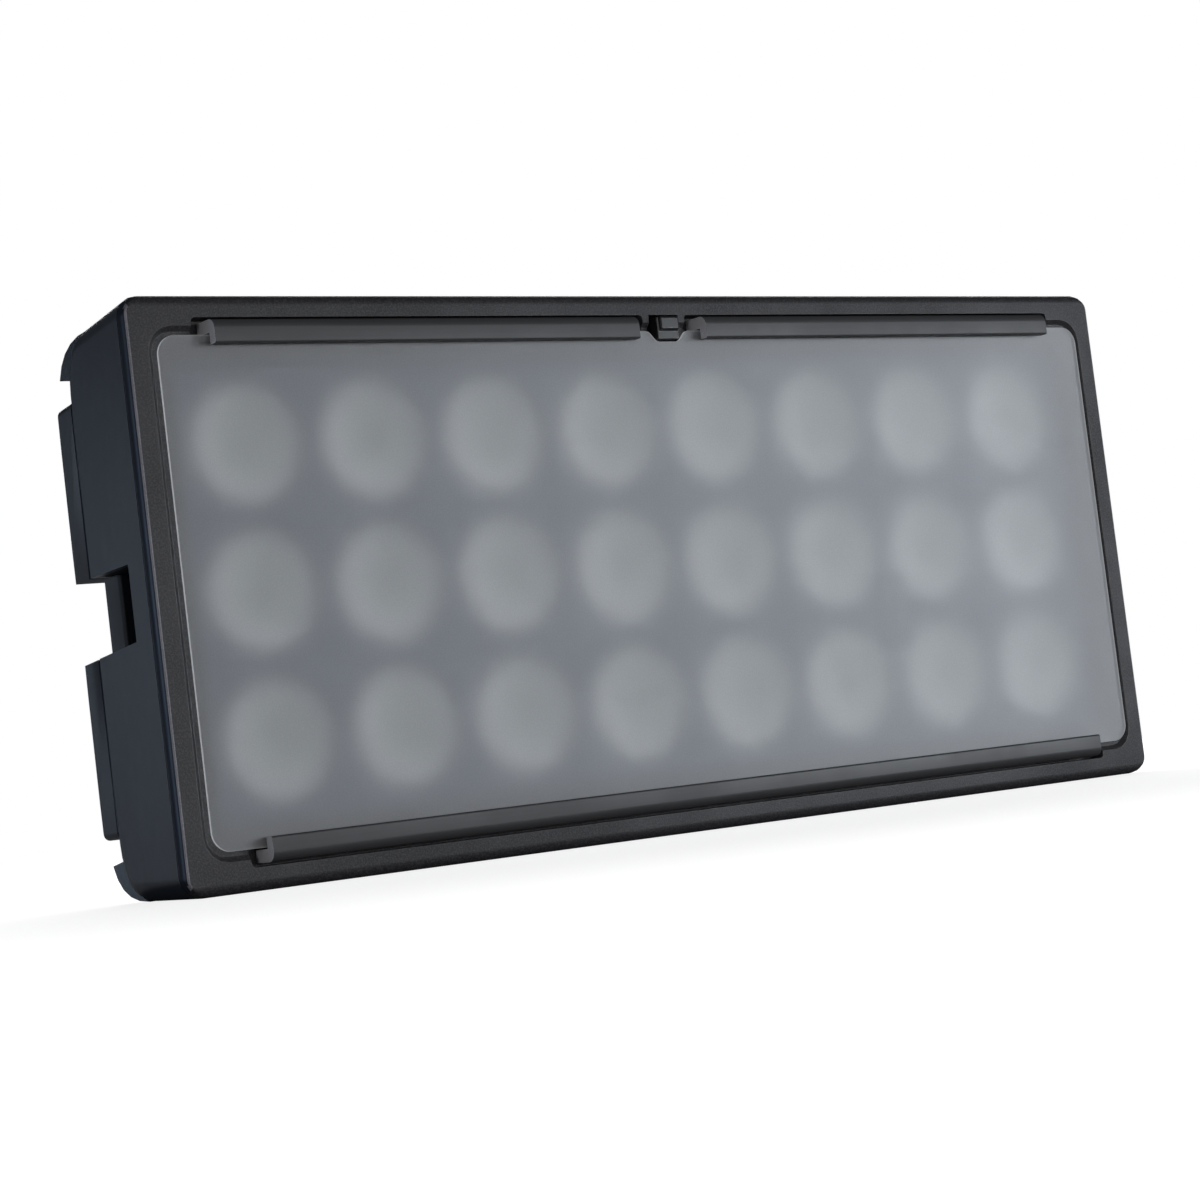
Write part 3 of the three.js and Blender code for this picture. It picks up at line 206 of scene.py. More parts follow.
def start_group(name, inputs, outputs):
    """A new shader group: its tree, the sockets of its inputs, and its output node."""
    tree = bpy.data.node_groups.new(name, "ShaderNodeTree")
    tree.interface.new_socket(name="Vector", in_out="INPUT", socket_type="NodeSocketVector")
    for label, default in inputs.items():
        socket = tree.interface.new_socket(name=label, in_out="INPUT", socket_type="NodeSocketFloat")
        socket.default_value = default
    for label in outputs:
        tree.interface.new_socket(name=label, in_out="OUTPUT", socket_type="NodeSocketFloat")
    return tree, add_node(tree, "NodeGroupInput").outputs, add_node(tree, "NodeGroupOutput")


@cache
def moulded_grain_group():
    """Fine spark-eroded grain: a height, and a speckle mask of its raised grains."""
    tree, given, out = start_group("Moulded grain", {"Scale": 1500.0}, ("Height", "Speckle"))
    fine = add_noise(tree, given["Vector"], given["Scale"], 3.0, 0.6)
    cells = add_node(tree, "ShaderNodeTexVoronoi", {"Vector": given["Vector"], "Scale": given["Scale"]},
                     feature="F1")
    grains = add_step(tree, cells.outputs["Distance"], 0.05, 0.6, 1.0, 0.0)
    height = add_math(tree, "MULTIPLY_ADD", fine, 0.6, times(tree, grains, 0.4))
    feed(out, {"Height": height, "Speckle": add_step(tree, fine, 0.42, 0.64)})
    return tree


@cache
def tone_drift_group():
    """Two slow layers of uneven tone over a surface, as a mask about one half."""
    tree, given, out = start_group("Tone drift", {"Scale": 9.0}, ("Mask",))
    slow = add_noise(tree, given["Vector"], given["Scale"], 2.0)
    quick = add_noise(tree, given["Vector"], times(tree, given["Scale"], 7.0), 4.0)
    mixed = add_math(tree, "MULTIPLY_ADD", slow, 0.7, times(tree, quick, 0.3))
    feed(out, {"Mask": add_step(tree, mixed, 0.36, 0.64)})
    return tree


@cache
def edge_wear_and_highlight_group():
    """Where a rounded edge is paler, as rubbed wear and as a painted highlight: the piece's own edge
    attribute, broken up by noise.
    """
    tree, given, out = start_group("Edge wear", {"Edge": 0.0, "Scale": 160.0}, ("Mask",))
    noise = add_noise(tree, given["Vector"], given["Scale"], 3.0)
    broken = add_step(tree, noise, 0.35, 0.62, 0.55, 1.0)
    feed(out, {"Mask": times(tree, given["Edge"], broken)})
    return tree


@cache
def drawn_lines_group():
    """Fine lines along X, as an extruded and brushed metal has."""
    tree, given, out = start_group("Drawn lines", {"Scale": 900.0}, ("Height",))
    stretch = add_node(tree, "ShaderNodeVectorMath", {0: given["Vector"], 1: (0.012, 1.0, 1.0)},
                       operation="MULTIPLY")
    feed(out, {"Height": add_noise(tree, stretch.outputs[0], given["Scale"], 3.0, 0.65)})
    return tree


@cache
def lamp_discs_group():
    """Soft discs on the lamps' pitch: the disc, a painted highlight along its rim, its darker middle, and a
    painted lit side, paler to the left and below.
    """
    tree, given, out = start_group("Lamp discs", {"Pitch": 0.07364, "Radius": 0.031, "Softness": 0.009},
                                   ("Disc", "Rim", "Middle", "Lean"))
    parts = add_node(tree, "ShaderNodeSeparateXYZ", {0: given["Vector"]})
    pitch = given["Pitch"]

    def from_lamp(value, pitches):
        """Signed distance to the middle of the nearest lamp along one direction."""
        moved = add_math(tree, "ADD", value, times(tree, pitch, pitches))
        return add_math(tree, "SUBTRACT", add_math(tree, "MODULO", moved, pitch),
                        times(tree, pitch, 0.5))

    across = from_lamp(parts.outputs[0], 8.0)
    up = from_lamp(add_math(tree, "SUBTRACT", parts.outputs[2], MIDDLE_Z), 8.5)
    away = add_math(tree, "SQRT", add_math(tree, "ADD", times(tree, across, across),
                                           times(tree, up, up)))
    past = add_math(tree, "DIVIDE", add_math(tree, "SUBTRACT", away, given["Radius"]), given["Softness"])
    ring = times(tree, add_step(tree, past, -2.9, -1.4), add_step(tree, past, -1.2, 0.3, 1.0, 0.0))
    # Painted light: a direction across each disc towards its lit side, to the left and below, which places
    # the painted rim highlight and the paler lit side.
    toward_lit_side = add_math(tree, "MULTIPLY_ADD", across, -0.85, times(tree, up, -0.5))
    toward_lit_side = add_math(tree, "DIVIDE", toward_lit_side, given["Radius"])
    lit_crescent = add_step(tree, toward_lit_side, -0.55, 0.75, 0.1, 1.0)
    inward = add_math(tree, "DIVIDE", away, given["Radius"])
    feed(out, {"Disc": add_step(tree, past, -1.0, 1.0, 1.0, 0.0),
               "Rim": times(tree, ring, lit_crescent),
               "Middle": add_step(tree, inward, 0.12, 0.52, 1.0, 0.0),
               "Lean": add_step(tree, toward_lit_side, -0.9, 0.9)})
    return tree


def use_group(tree, group, **values):
    """Places a shared group in a finish, with its own values, and gives back its outputs."""
    return add_node(tree, "ShaderNodeGroup", values, node_tree=group).outputs


# Finishes

SHEET_IOR = 1.49
COOL = (0.68, 0.80, 1.0)


def mix_colours(tree, mask, first, second):
    """Mixes two colours, or the sockets that give them, by a mask."""
    node = add_node(tree, "ShaderNodeMix", {"Factor": mask}, data_type="RGBA")
    sockets = [socket for socket in node.inputs if socket.type == "RGBA"]
    for socket, value in zip(sockets, (first, second)):
        if isinstance(value, bpy.types.NodeSocket):
            tree.links.new(value, socket)
        else:
            socket.default_value = (*value, 1.0)
    return next(socket for socket in node.outputs if socket.type == "RGBA")


def scaled(shade, factor):
    return tuple(min(1.0, part * factor) for part in shade)


def start_finish(name):
    material = bpy.data.materials.new(name)
    material.use_nodes = True
    tree = material.node_tree
    place = add_node(tree, "ShaderNodeTexCoord").outputs["Object"]
    return material, tree, tree.nodes["Principled BSDF"], place


def tone_mask(tree, place, scale):
    return use_group(tree, tone_drift_group(), Vector=place, Scale=scale)["Mask"]


def edge_wear_and_highlight_mask(tree, place, scale):
    edge = add_node(tree, "ShaderNodeAttribute", attribute_name="edge").outputs["Fac"]
    return use_group(tree, edge_wear_and_highlight_group(), Vector=place, Edge=edge, Scale=scale)["Mask"]


def bump(tree, height, strength, distance):
    values = {"Strength": strength, "Distance": distance, "Height": height}
    return add_node(tree, "ShaderNodeBump", values).outputs[0]


def moulded_plastic(name, colour_name, roughness, grain_scale, grain_depth, paler=1.0, speckle=1.25,
                    drift=1.18, wear=2.2, gloss=0.4, cool=(1.0, 1.0, 1.0)):
    """Moulded plastic: fine grain, slow drift of tone and sheen, and paler, glossier edges, partly rubbed
    wear and partly a painted highlight.
    """
    shade = scaled(getattr(colours(), colour_name), paler)
    material, tree, shader, place = start_finish(name)
    grain = use_group(tree, moulded_grain_group(), Vector=place, Scale=grain_scale)
    tone = tone_mask(tree, place, 7.0)
    worn_and_highlighted = edge_wear_and_highlight_mask(tree, place, 140.0)
    base = mix_colours(tree, tone, scaled(shade, 1.0 / drift), scaled(shade, drift))
    grained = mix_colours(tree, grain["Speckle"], base, scaled(shade, speckle))
    sheen = add_range(tree, tone, roughness + 0.04, roughness - 0.04)
    # The edges' paler colour is partly rubbed wear and partly a painted highlight.
    feed(shader, {"Base Color": mix_colours(tree, worn_and_highlighted, grained, scaled(shade, wear)),
                  "Roughness": add_math(tree, "SUBTRACT", sheen, times(tree, worn_and_highlighted, 0.08)),
                  "Specular IOR Level": gloss,
                  "Specular Tint": (*cool, 1.0),
                  "Coat Weight": times(tree, worn_and_highlighted, 0.6),
                  "Coat Roughness": 0.30,
                  "Normal": bump(tree, grain["Height"], 0.5, grain_depth)})
    return material


def drawn_metal(name, colour_name, roughness, metallic, paler=1.0, line_scale=900.0, depth=0.00003,
                wear=2.0, gloss=0.5):
    """Extruded or wrought metal, plain or coated: lines along X, drift of sheen and brighter edges, partly
    wear and partly a painted highlight.
    """
    shade = scaled(getattr(colours(), colour_name), paler)
    material, tree, shader, place = start_finish(name)
    lines = use_group(tree, drawn_lines_group(), Vector=place, Scale=line_scale)["Height"]
    tone = tone_mask(tree, place, 11.0)
    base = mix_colours(tree, lines, scaled(shade, 0.86), scaled(shade, 1.14))
    # The edges' paler colour is partly wear and partly a painted highlight.
    feed(shader, {"Base Color": mix_colours(tree, edge_wear_and_highlight_mask(tree, place, 200.0), base, scaled(shade, wear)),
                  "Roughness": add_range(tree, tone, roughness + 0.05, roughness - 0.03),
                  "Metallic": metallic,
                  "Specular IOR Level": gloss,
                  "Normal": bump(tree, lines, 0.35, depth)})
    return material


def frosted_sheet_finish():
    """Frosted sheet: an etched grain that blurs what lies behind, and lets the studio light in to it."""
    shade = colours().sheet
    material, tree, shader, place = start_finish("Frosted sheet")
    grain = use_group(tree, moulded_grain_group(), Vector=place, Scale=1300.0)
    seen = add_node(tree, "ShaderNodeLightPath").outputs
    lit = add_math(tree, "MAXIMUM", seen["Is Shadow Ray"], seen["Is Diffuse Ray"])
    feed(shader, {"Base Color": mix_colours(tree, grain["Speckle"], scaled(shade, 0.92), scaled(shade, 1.06)),
                  "Roughness": add_range(tree, tone_mask(tree, place, 14.0), 0.57, 0.54),
                  "Transmission Weight": 0.95,
                  "IOR": SHEET_IOR,
                  "Specular IOR Level": 0.75,
                  "Alpha": add_math(tree, "MULTIPLY_ADD", lit, -0.85, 1.0),
                  "Normal": bump(tree, grain["Height"], 0.2, 0.00001)})
    return material


def sheet_rim_finish():
    """Cut rim of the frosted sheet: a paler colour and a faint glow, painted in as a pale line of light along
    it.
    """
    shade = colours().sheet_rim
    material, tree, shader, place = start_finish("Sheet rim")
    tone = tone_mask(tree, place, 60.0)
    feed(shader, {"Base Color": mix_colours(tree, tone, scaled(shade, 0.9), shade),
                  "Roughness": add_range(tree, tone, 0.30, 0.38),
                  "IOR": SHEET_IOR,
                  # Painted glow: the rim gives off a faint light of its own, for its pale line of light.
                  "Emission Color": (0.96, 0.98, 1.0, 1.0),
                  "Emission Strength": 0.26})
    return material


def behind_sheet_finish(name, roughness):
    """What shows softly through the frosted sheet: pale lamp discs on grey, each with a painted lit side and
    a painted highlight on its rim.
    """
    shades = colours()
    material, tree, shader, place = start_finish(name)
    lamps = use_group(tree, lamp_discs_group(), Vector=place, Pitch=sizes().lamp_pitch,
                      Radius=sizes().lens_radius * 0.97, Softness=0.0045)
    tone = tone_mask(tree, place, 30.0)
    # Painted light: each disc is paler on its left and lower side, with a pale highlight on that part of its
    # rim.
    painted_side_light = mix_colours(tree, lamps["Lean"], scaled(shades.disc, 0.74), scaled(shades.disc, 1.18))
    disc = mix_colours(tree, lamps["Middle"], painted_side_light, scaled(shades.disc, 0.80))
    rim_highlighted = mix_colours(tree, lamps["Rim"], disc, (1.0, 1.0, 0.99))
    gap = mix_colours(tree, tone, scaled(shades.between, 0.95), scaled(shades.between, 1.05))
    feed(shader, {"Base Color": mix_colours(tree, lamps["Disc"], gap, rim_highlighted),
                  "Roughness": add_range(tree, tone, roughness, roughness - 0.05),
                  "Specular IOR Level": 0.1})
    return material


def display_pane_finish():
    """Dark clear pane over a display that is off."""
    material, tree, shader, place = start_finish("Display pane")
    tone = tone_mask(tree, place, 40.0)
    feed(shader, {"Base Color": mix_colours(tree, tone, scaled(colours().panel, 0.9), (0.012, 0.014, 0.019)),
                  "Roughness": add_range(tree, tone, 0.05, 0.09),
                  "Coat Weight": 0.6,
                  "Coat Roughness": 0.04})
    return material


def circuit_board_finish():
    """White coated board with faint tracks under the coat."""
    shade = colours().board
    material, tree, shader, place = start_finish("Circuit board")
    turned = add_node(tree, "ShaderNodeMapping", {"Vector": place, "Rotation": (pi / 2, 0.0, 0.0)})
    tracks = add_node(tree, "ShaderNodeTexBrick", {"Vector": turned.outputs[0], "Scale": 90.0,
                                                   "Mortar Size": 0.03, "Mortar Smooth": 0.4})
    tone = tone_mask(tree, place, 60.0)
    plain = mix_colours(tree, tone, scaled(shade, 0.95), shade)
    feed(shader, {"Base Color": mix_colours(tree, tracks.outputs["Fac"], plain, scaled(shade, 0.8)),
                  "Roughness": add_range(tree, tone, 0.40, 0.50)})
    return material


# Each row: the material's name, its colour, and the numbers and options of its maker
PLASTICS = {
    "bezel_texture": ("Bezel texture", "bezel", 0.52, 1000.0, 0.00022, {"speckle": 2.4, "gloss": 0.30}),
    # A painted highlight: a much paler, glossier finish for the bezel's rounded side edges.
    "bezel_rub": ("Rubbed bezel edge", "bezel", 0.36, 1400.0, 0.00005,
                  {"paler": 8.0, "speckle": 1.5, "cool": (0.80, 0.88, 1.0)}),
    "latch_plastic": ("Latch plastic", "latch", 0.44, 1700.0, 0.00006, {"wear": 2.6}),
    "housing_plastic": ("Housing plastic", "housing", 0.36, 1900.0, 0.00003,
                        {"speckle": 1.12, "wear": 3.2, "cool": COOL}),
    "fan_plastic": ("Fan plastic", "fan", 0.48, 1600.0, 0.00005, {}),
    "panel_plastic": ("Panel plastic", "panel", 0.46, 2000.0, 0.00003, {}),
    "key_plastic": ("Key rubber", "key", 0.62, 2000.0, 0.00004, {"wear": 1.4}),
    "socket_plastic": ("Socket plastic", "socket", 0.40, 1800.0, 0.00004, {}),
    "pocket_plastic": ("Pocket plastic", "pocket", 0.46, 1900.0, 0.00004,
                       {"wear": 3.0, "gloss": 0.15, "cool": COOL}),
}
METALS = {
    "rail_metal": ("Rail metal", "rail", 0.44, 0.15, {"wear": 2.2, "gloss": 0.35}),
    # The cut ends are paler as bare cut metal, and are brightened further as painted light where the slot
    # shades them.
    "rail_end": ("Rail cut end", "rail", 0.5, 0.0, {"paler": 14.0, "wear": 1.1}),
    "spring_steel": ("Bright steel", "steel", 0.30, 1.0, {"wear": 1.3}),
    "sink_aluminium": ("Sink aluminium", "aluminium", 0.45, 0.9, {"line_scale": 600.0}),
    "bar_metal": ("Bar paint", "bar", 0.46, 0.0, {"depth": 0.00001, "wear": 4.0, "gloss": 0.3}),
    "supply_case": ("Supply case", "aluminium", 0.38, 0.9, {"paler": 0.9}),
    "contact_metal": ("Contact plating", "contact", 0.25, 1.0, {"wear": 1.2}),
}
OTHERS = {
    "frosted_sheet": frosted_sheet_finish,
    "sheet_rim": sheet_rim_finish,
    "mask_plastic": lambda: behind_sheet_finish("Mask plastic", 0.75),
    "lens_clear": lambda: behind_sheet_finish("Lens moulding", 0.45),
    "display_pane": display_pane_finish,
    "circuit_board": circuit_board_finish,
}


@cache
def finish(slot):
    """The finish of one of the record's slots, or of a part of a piece, made once."""
    if slot in OTHERS:
        return OTHERS[slot]()
    maker, rows = (moulded_plastic, PLASTICS) if slot in PLASTICS else (drawn_metal, METALS)
    *numbers, options = rows[slot]
    return maker(*numbers, **options)


# Shaping


def add_object(name, data):
    made = bpy.data.objects.new(name, data)
    bpy.context.scene.collection.objects.link(made)
    return made


def add_piece(node, shape, slot, body="case", extra=(), smooth=32.0):
    """Stands for a CAD node with a finished bmesh, in the row frame, riding on a body of the frame."""
    name = f"{node}_piece"
    mesh = bpy.data.meshes.new(name)
    shape.to_mesh(mesh)
    shape.free()
    mesh.shade_smooth()
    mesh.set_sharp_from_angle(angle=radians(smooth))
    piece = add_object(name, mesh)
    for used in (slot, *extra):
        mesh.materials.append(finish(used))
    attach(piece, body)
    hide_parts(node)
    even = piece.modifiers.new("Even shading", "WEIGHTED_NORMAL")
    even.keep_sharp = True
    return piece


def node_shape(node):
    """A merged copy of a CAD node's mesh, with its flat faces joined up again."""
    shape = bmesh.new()
    shape.from_mesh(NODES[node].data)
    bmesh.ops.remove_doubles(shape, verts=shape.verts, dist=2e-6)
    bmesh.ops.dissolve_limit(shape, angle_limit=radians(0.4), verts=shape.verts, edges=shape.edges)
    return shape


def bevel(shape, edges, width, segments):
    """Rounds edges and gives back the new faces."""
    return bmesh.ops.bevel(shape, geom=edges, offset=width, offset_type="OFFSET", segments=segments,
                           profile=0.5, affect="EDGES", clamp_overlap=True, material=-1)["faces"]


def round_edges(shape, width, angle, segments=2, keep=None):
    """Rounds the edges that turn by more than an angle, and marks them in the edge attribute."""
    mark = shape.loops.layers.float.get("edge") or shape.loops.layers.float.new("edge")
    sharp = [edge for edge in shape.edges if len(edge.link_faces) == 2
             and edge.calc_face_angle(0.0) > radians(angle) and (keep is None or keep(edge))]
    if not sharp or width <= 0:
        return shape
    for face in bevel(shape, sharp, width, segments):
        for loop in face.loops:
            loop[mark] = 1.0
    return shape


def soften_node(node, slot, width, angle, segments=2, body="case"):
    """Stands for a CAD node with the same shape and rounded edges."""
    add_piece(node, round_edges(node_shape(node), width, angle, segments), slot, body)


def dress_node(node, slot):
    """Gives a CAD node that keeps its own mesh its finish."""
    data = NODES[node].data
    data.materials.clear()
    data.materials.append(finish(slot))


def paint(faces, index):
    """Gives faces one of their piece's extra finishes."""
    for face in faces:
        face.material_index = index


def paint_from(shape, first, index):
    """Gives the faces from a count on one of their piece's extra finishes."""
    shape.faces.ensure_lookup_table()
    paint(shape.faces[first:], index)


def along_depth(edges):
    """Those of some edges that run along Y."""
    return [edge for edge in edges if abs(edge.verts[0].co.y - edge.verts[1].co.y) > SAME_PLACE]


def behind(depth):
    """A test of whether an edge lies wholly behind a depth."""
    return lambda edge: min(vert.co.y for vert in edge.verts) > depth


def axis_point(low, high):
    """The middle of a box in X and Z, where an axis along Y crosses the plane of Y = 0."""
    return Vector(((low.x + high.x) / 2, 0.0, (low.z + high.z) / 2))


def push(shape, faces, offset):
    """Extrudes faces by an offset."""
    made = bmesh.ops.extrude_face_region(shape, geom=faces)["geom"]
    verts = [item for item in made if isinstance(item, bmesh.types.BMVert)]
    bmesh.ops.translate(shape, verts=verts, vec=offset)


def tidy(shape):
    """Merges a shape's doubles and turns its faces outwards."""
    bmesh.ops.remove_doubles(shape, verts=shape.verts, dist=1e-7)
    bmesh.ops.recalc_face_normals(shape, faces=shape.faces)
    return shape


def turn_profile(shape, points, centre, start=0.0, steps=None):
    """Spins points, each a radius and a depth from start, about an axis along Y through centre."""
    verts = [shape.verts.new((centre.x + radius, start + depth, centre.z)) for radius, depth in points]
    edges = [shape.edges.new(pair) for pair in zip(verts, verts[1:])]
    bmesh.ops.spin(shape, geom=verts + edges, cent=centre, axis=(0.0, 1.0, 0.0), dvec=(0.0, 0.0, 0.0),
                   angle=2 * pi, steps=steps or sizes().round_steps, use_merge=True)
    bmesh.ops.remove_doubles(shape, verts=shape.verts, dist=1e-7)


def edges_at(verts):
    """The edges at some verts, each of them once."""
    return list(dict.fromkeys(edge for vert in verts for edge in vert.link_edges))


def add_block(shape, low, high):
    """A block between two corners; gives back its edges."""
    low, high = Vector(low), Vector(high)
    place = Matrix.Translation((low + high) / 2) @ Matrix.Diagonal((*(high - low), 1.0))
    return edges_at(bmesh.ops.create_cube(shape, size=1.0, matrix=place)["verts"])


def add_turned_block(shape, low, high, centre, angle):
    """A block between two corners, turned about an axis along Y through centre."""
    verts = list({vert for edge in add_block(shape, low, high) for vert in edge.verts})
    bmesh.ops.rotate(shape, verts=verts, cent=centre, matrix=Matrix.Rotation(angle, 3, "Y"))


def pierced_plate(shape, outline, holes, y0, y1, steps=48):
    """A plate from an outline in X and Z with round holes, from y0 to y1."""
    verts = [shape.verts.new((x, y0, z)) for x, z in outline]
    edges = [shape.edges.new(pair) for pair in zip(verts, verts[1:] + verts[:1])]
    for x, z, radius in holes:
        place = Matrix.Translation((x, y0, z)) @ Matrix.Rotation(pi / 2, 4, "X")
        ring = bmesh.ops.create_circle(shape, cap_ends=False, radius=radius, segments=steps, matrix=place)
        edges += edges_at(ring["verts"])
    made = bmesh.ops.triangle_fill(shape, use_beauty=True, use_dissolve=False, edges=edges)["geom"]
    faces = [item for item in made if isinstance(item, bmesh.types.BMFace)]
    push(shape, faces, (0.0, y1 - y0, 0.0))


def rounded_outline(low, high, radius, steps=8):
    """Corner points of a rounded rectangle in X and Z."""
    points = []
    for x, z, start in ((high.x - radius, low.z + radius, -0.5), (high.x - radius, high.z - radius, 0.0),
                        (low.x + radius, high.z - radius, 0.5), (low.x + radius, low.z + radius, 1.0)):
        for step in range(steps + 1):
            angle = (start + step / steps / 2) * pi
            points.append((x + radius * cos(angle), z + radius * sin(angle)))
    return points


# Operators, one for each group of pieces


class STAGELIGHT_OT_bezel(Operator):
    """Front frame with rounded inner edges, a moulded texture and a painted highlight on its side edges"""

    bl_idname = "stagelight.bezel"
    bl_label = "Front bezel"

    # Width of the side edges that carry the painted highlight.
    highlight_width: length("Painted highlight width", "Width of the side edges that are rubbed smooth", 0.0034)
    # Scales the bezel's paler edges, which are partly wear and partly a painted highlight.
    wear: share("Edge wear", "How much of the rounded edges' wear shows on the bezel", 0.25)

    def execute(self, context):
        shape = round_edges(node_shape("front_bezel"), sizes().bezel_edge, angle=30.0)
        mark = shape.loops.layers.float["edge"]
        for face in shape.faces:
            at_side = abs(face.calc_center_median().x) > BEZEL_HIGH.x - self.highlight_width
            # The rounded side edges get the painted highlight finish, and the flat sides get the housing's
            # plastic.
            if at_side and abs(face.normal.x) > 0.80:
                face.material_index = SECOND_EXTRA
            elif at_side and abs(face.normal.x) > 0.30 and face.normal.y < -0.1:
                face.material_index = FIRST_EXTRA
            for loop in face.loops:
                loop[mark] *= self.wear
        add_piece("front_bezel", shape, "bezel_texture", extra=["bezel_rub", "housing_plastic"])
        return {"FINISHED"}


class STAGELIGHT_OT_rails(Operator):
    """Extruded rails whose lips hold the frosted sheet"""

    bl_idname = "stagelight.rails"
    bl_label = "Sheet rails"

    def execute(self, context):
        for node in ("rail_top_left", "rail_top_right", "rail_bottom"):
            shape = round_edges(node_shape(node), sizes().rail_edge, angle=50.0)
            # Faces along X, the cut ends, get the paler finish, which is partly painted light.
            paint((face for face in shape.faces if abs(face.normal.x) > FACING), FIRST_EXTRA)
            add_piece(node, shape, "rail_metal", extra=["rail_end"])
        return {"FINISHED"}


class STAGELIGHT_OT_sheet(Operator):
    """Frosted slide-in sheet with round corners and the latch's notch"""

    bl_idname = "stagelight.sheet"
    bl_label = "Frosted sheet"

    notch_top: length("Notch top", "Width of the notch at the sheet's edge", 0.0248)
    notch_bottom: length("Notch bottom", "Width of the notch's floor", 0.0148)
    notch_depth: length("Notch depth", "Depth of the notch", 0.0059)

    def execute(self, context):
        low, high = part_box("diffuser_panel")
        wide, narrow, floor = self.notch_top / 2, self.notch_bottom / 2, high.z - self.notch_depth
        corners = [(low.x, low.z), (high.x, low.z), (high.x, high.z), (wide, high.z), (narrow, floor),
                   (-narrow, floor), (-wide, high.z), (low.x, high.z)]
        shape = bmesh.new()
        face = shape.faces.new([shape.verts.new((x, low.y, z)) for x, z in corners])
        push(shape, [face], (0.0, high.y - low.y, 0.0))
        upright = along_depth(shape.edges)
        outer = [edge for edge in upright if abs(edge.verts[0].co.x) > self.notch_top]
        inner = [edge for edge in upright if abs(edge.verts[0].co.x) < self.notch_top]
        if len(outer) != 4 or len(inner) != 4:
            raise RuntimeError("the sheet's corners weren't found")
        bevel(shape, outer, sizes().sheet_corner, 14)
        bevel(shape, inner, sizes().sheet_notch_round, 6)
        bmesh.ops.recalc_face_normals(shape, faces=shape.faces)
        round_edges(shape, sizes().sheet_edge, angle=60.0)
        paint((face for face in shape.faces if abs(face.normal.y) < FACING), FIRST_EXTRA)
        add_piece("diffuser_panel", shape, "frosted_sheet", extra=["sheet_rim"])
        return {"FINISHED"}


class STAGELIGHT_OT_latch(Operator):
    """Latch button, its spring and the bridge behind it"""

    bl_idname = "stagelight.latch"
    bl_label = "Sheet latch"

    travel: length("Travel", "How far the button presses its spring in", 0.005)

    def execute(self, context):
        soften_node("latch_button", "latch_plastic", sizes().latch_edge, angle=40.0, segments=3, body="latch")
        spring = add_piece("latch_spring", node_shape("latch_spring"), "spring_steel")
        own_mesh(spring)
        soften_node("latch_guide", "latch_plastic", sizes().small_edge, angle=40.0)
        return {"FINISHED"}


class STAGELIGHT_OT_lenses(Operator):
    """Columns of round lenses, and the mask round them"""

    bl_idname = "stagelight.lenses"
    bl_label = "Lenses and mask"

    carrier_front, carrier_back, carrier_corner = 0.0022, 0.0042, 0.004
    seat_radius = 0.011

    def execute(self, context):
        radius, flange = sizes().lens_radius, sizes().lens_flange
        holes = []
        for node in LENS_COLUMNS:
            low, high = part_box(node)
            front, x = low.y, (low.x + high.x) / 2
            profile = [(0.0, 0.0016), (radius * 0.16, 0.0015), (radius * 0.22, 0.0008),
                       (radius * 0.45, 0.0003), (radius * 0.70, 0.0003), (radius * 0.90, 0.0006),
                       (radius, 0.0009), (flange, 0.0010), (flange, self.carrier_front), (radius, 0.0037),
                       (self.seat_radius, high.y - front), (0.0, high.y - front)]
            shape = bmesh.new()
            for row in LAMP_ROWS:
                z = MIDDLE_Z + row * sizes().lamp_pitch
                holes.append((x, z, sizes().mask_hole_radius))
                turn_profile(shape, profile, Vector((x, 0.0, z)), front)
            edges = add_block(shape, (low.x, front + self.carrier_front, low.z),
                              (high.x, front + self.carrier_back, high.z))
            bevel(shape, along_depth(edges), self.carrier_corner, 4)
            add_piece(node, tidy(shape), "lens_clear")

        low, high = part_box("lens_mask")
        outline = [(low.x, low.z), (high.x, low.z), (high.x, high.z), (low.x, high.z)]
        shape = bmesh.new()
        pierced_plate(shape, outline, holes, low.y, high.y)
        add_piece("lens_mask", tidy(shape), "mask_plastic")
        return {"FINISHED"}


class STAGELIGHT_OT_housing(Operator):
    """Tapered housing with its side pockets and side bars"""

    bl_idname = "stagelight.housing"
    bl_label = "Housing, pockets and bars"

    seam: length("Seam round", "Rounding of the edge that meets the rear cover", 0.0009)

    def execute(self, context):
        shape = node_shape("main_housing")
        round_edges(shape, self.seam, angle=35.0, keep=behind(CASE_HIGH.y - self.seam))
        round_edges(shape, sizes().case_edge, angle=50.0)
        add_piece("main_housing", shape, "housing_plastic")
        for side in ("left", "right"):
            soften_node(f"side_pocket_{side}", "pocket_plastic", sizes().small_edge, angle=35.0)
            soften_node(f"side_bar_{side}", "bar_metal", sizes().small_edge, angle=50.0)
        return {"FINISHED"}


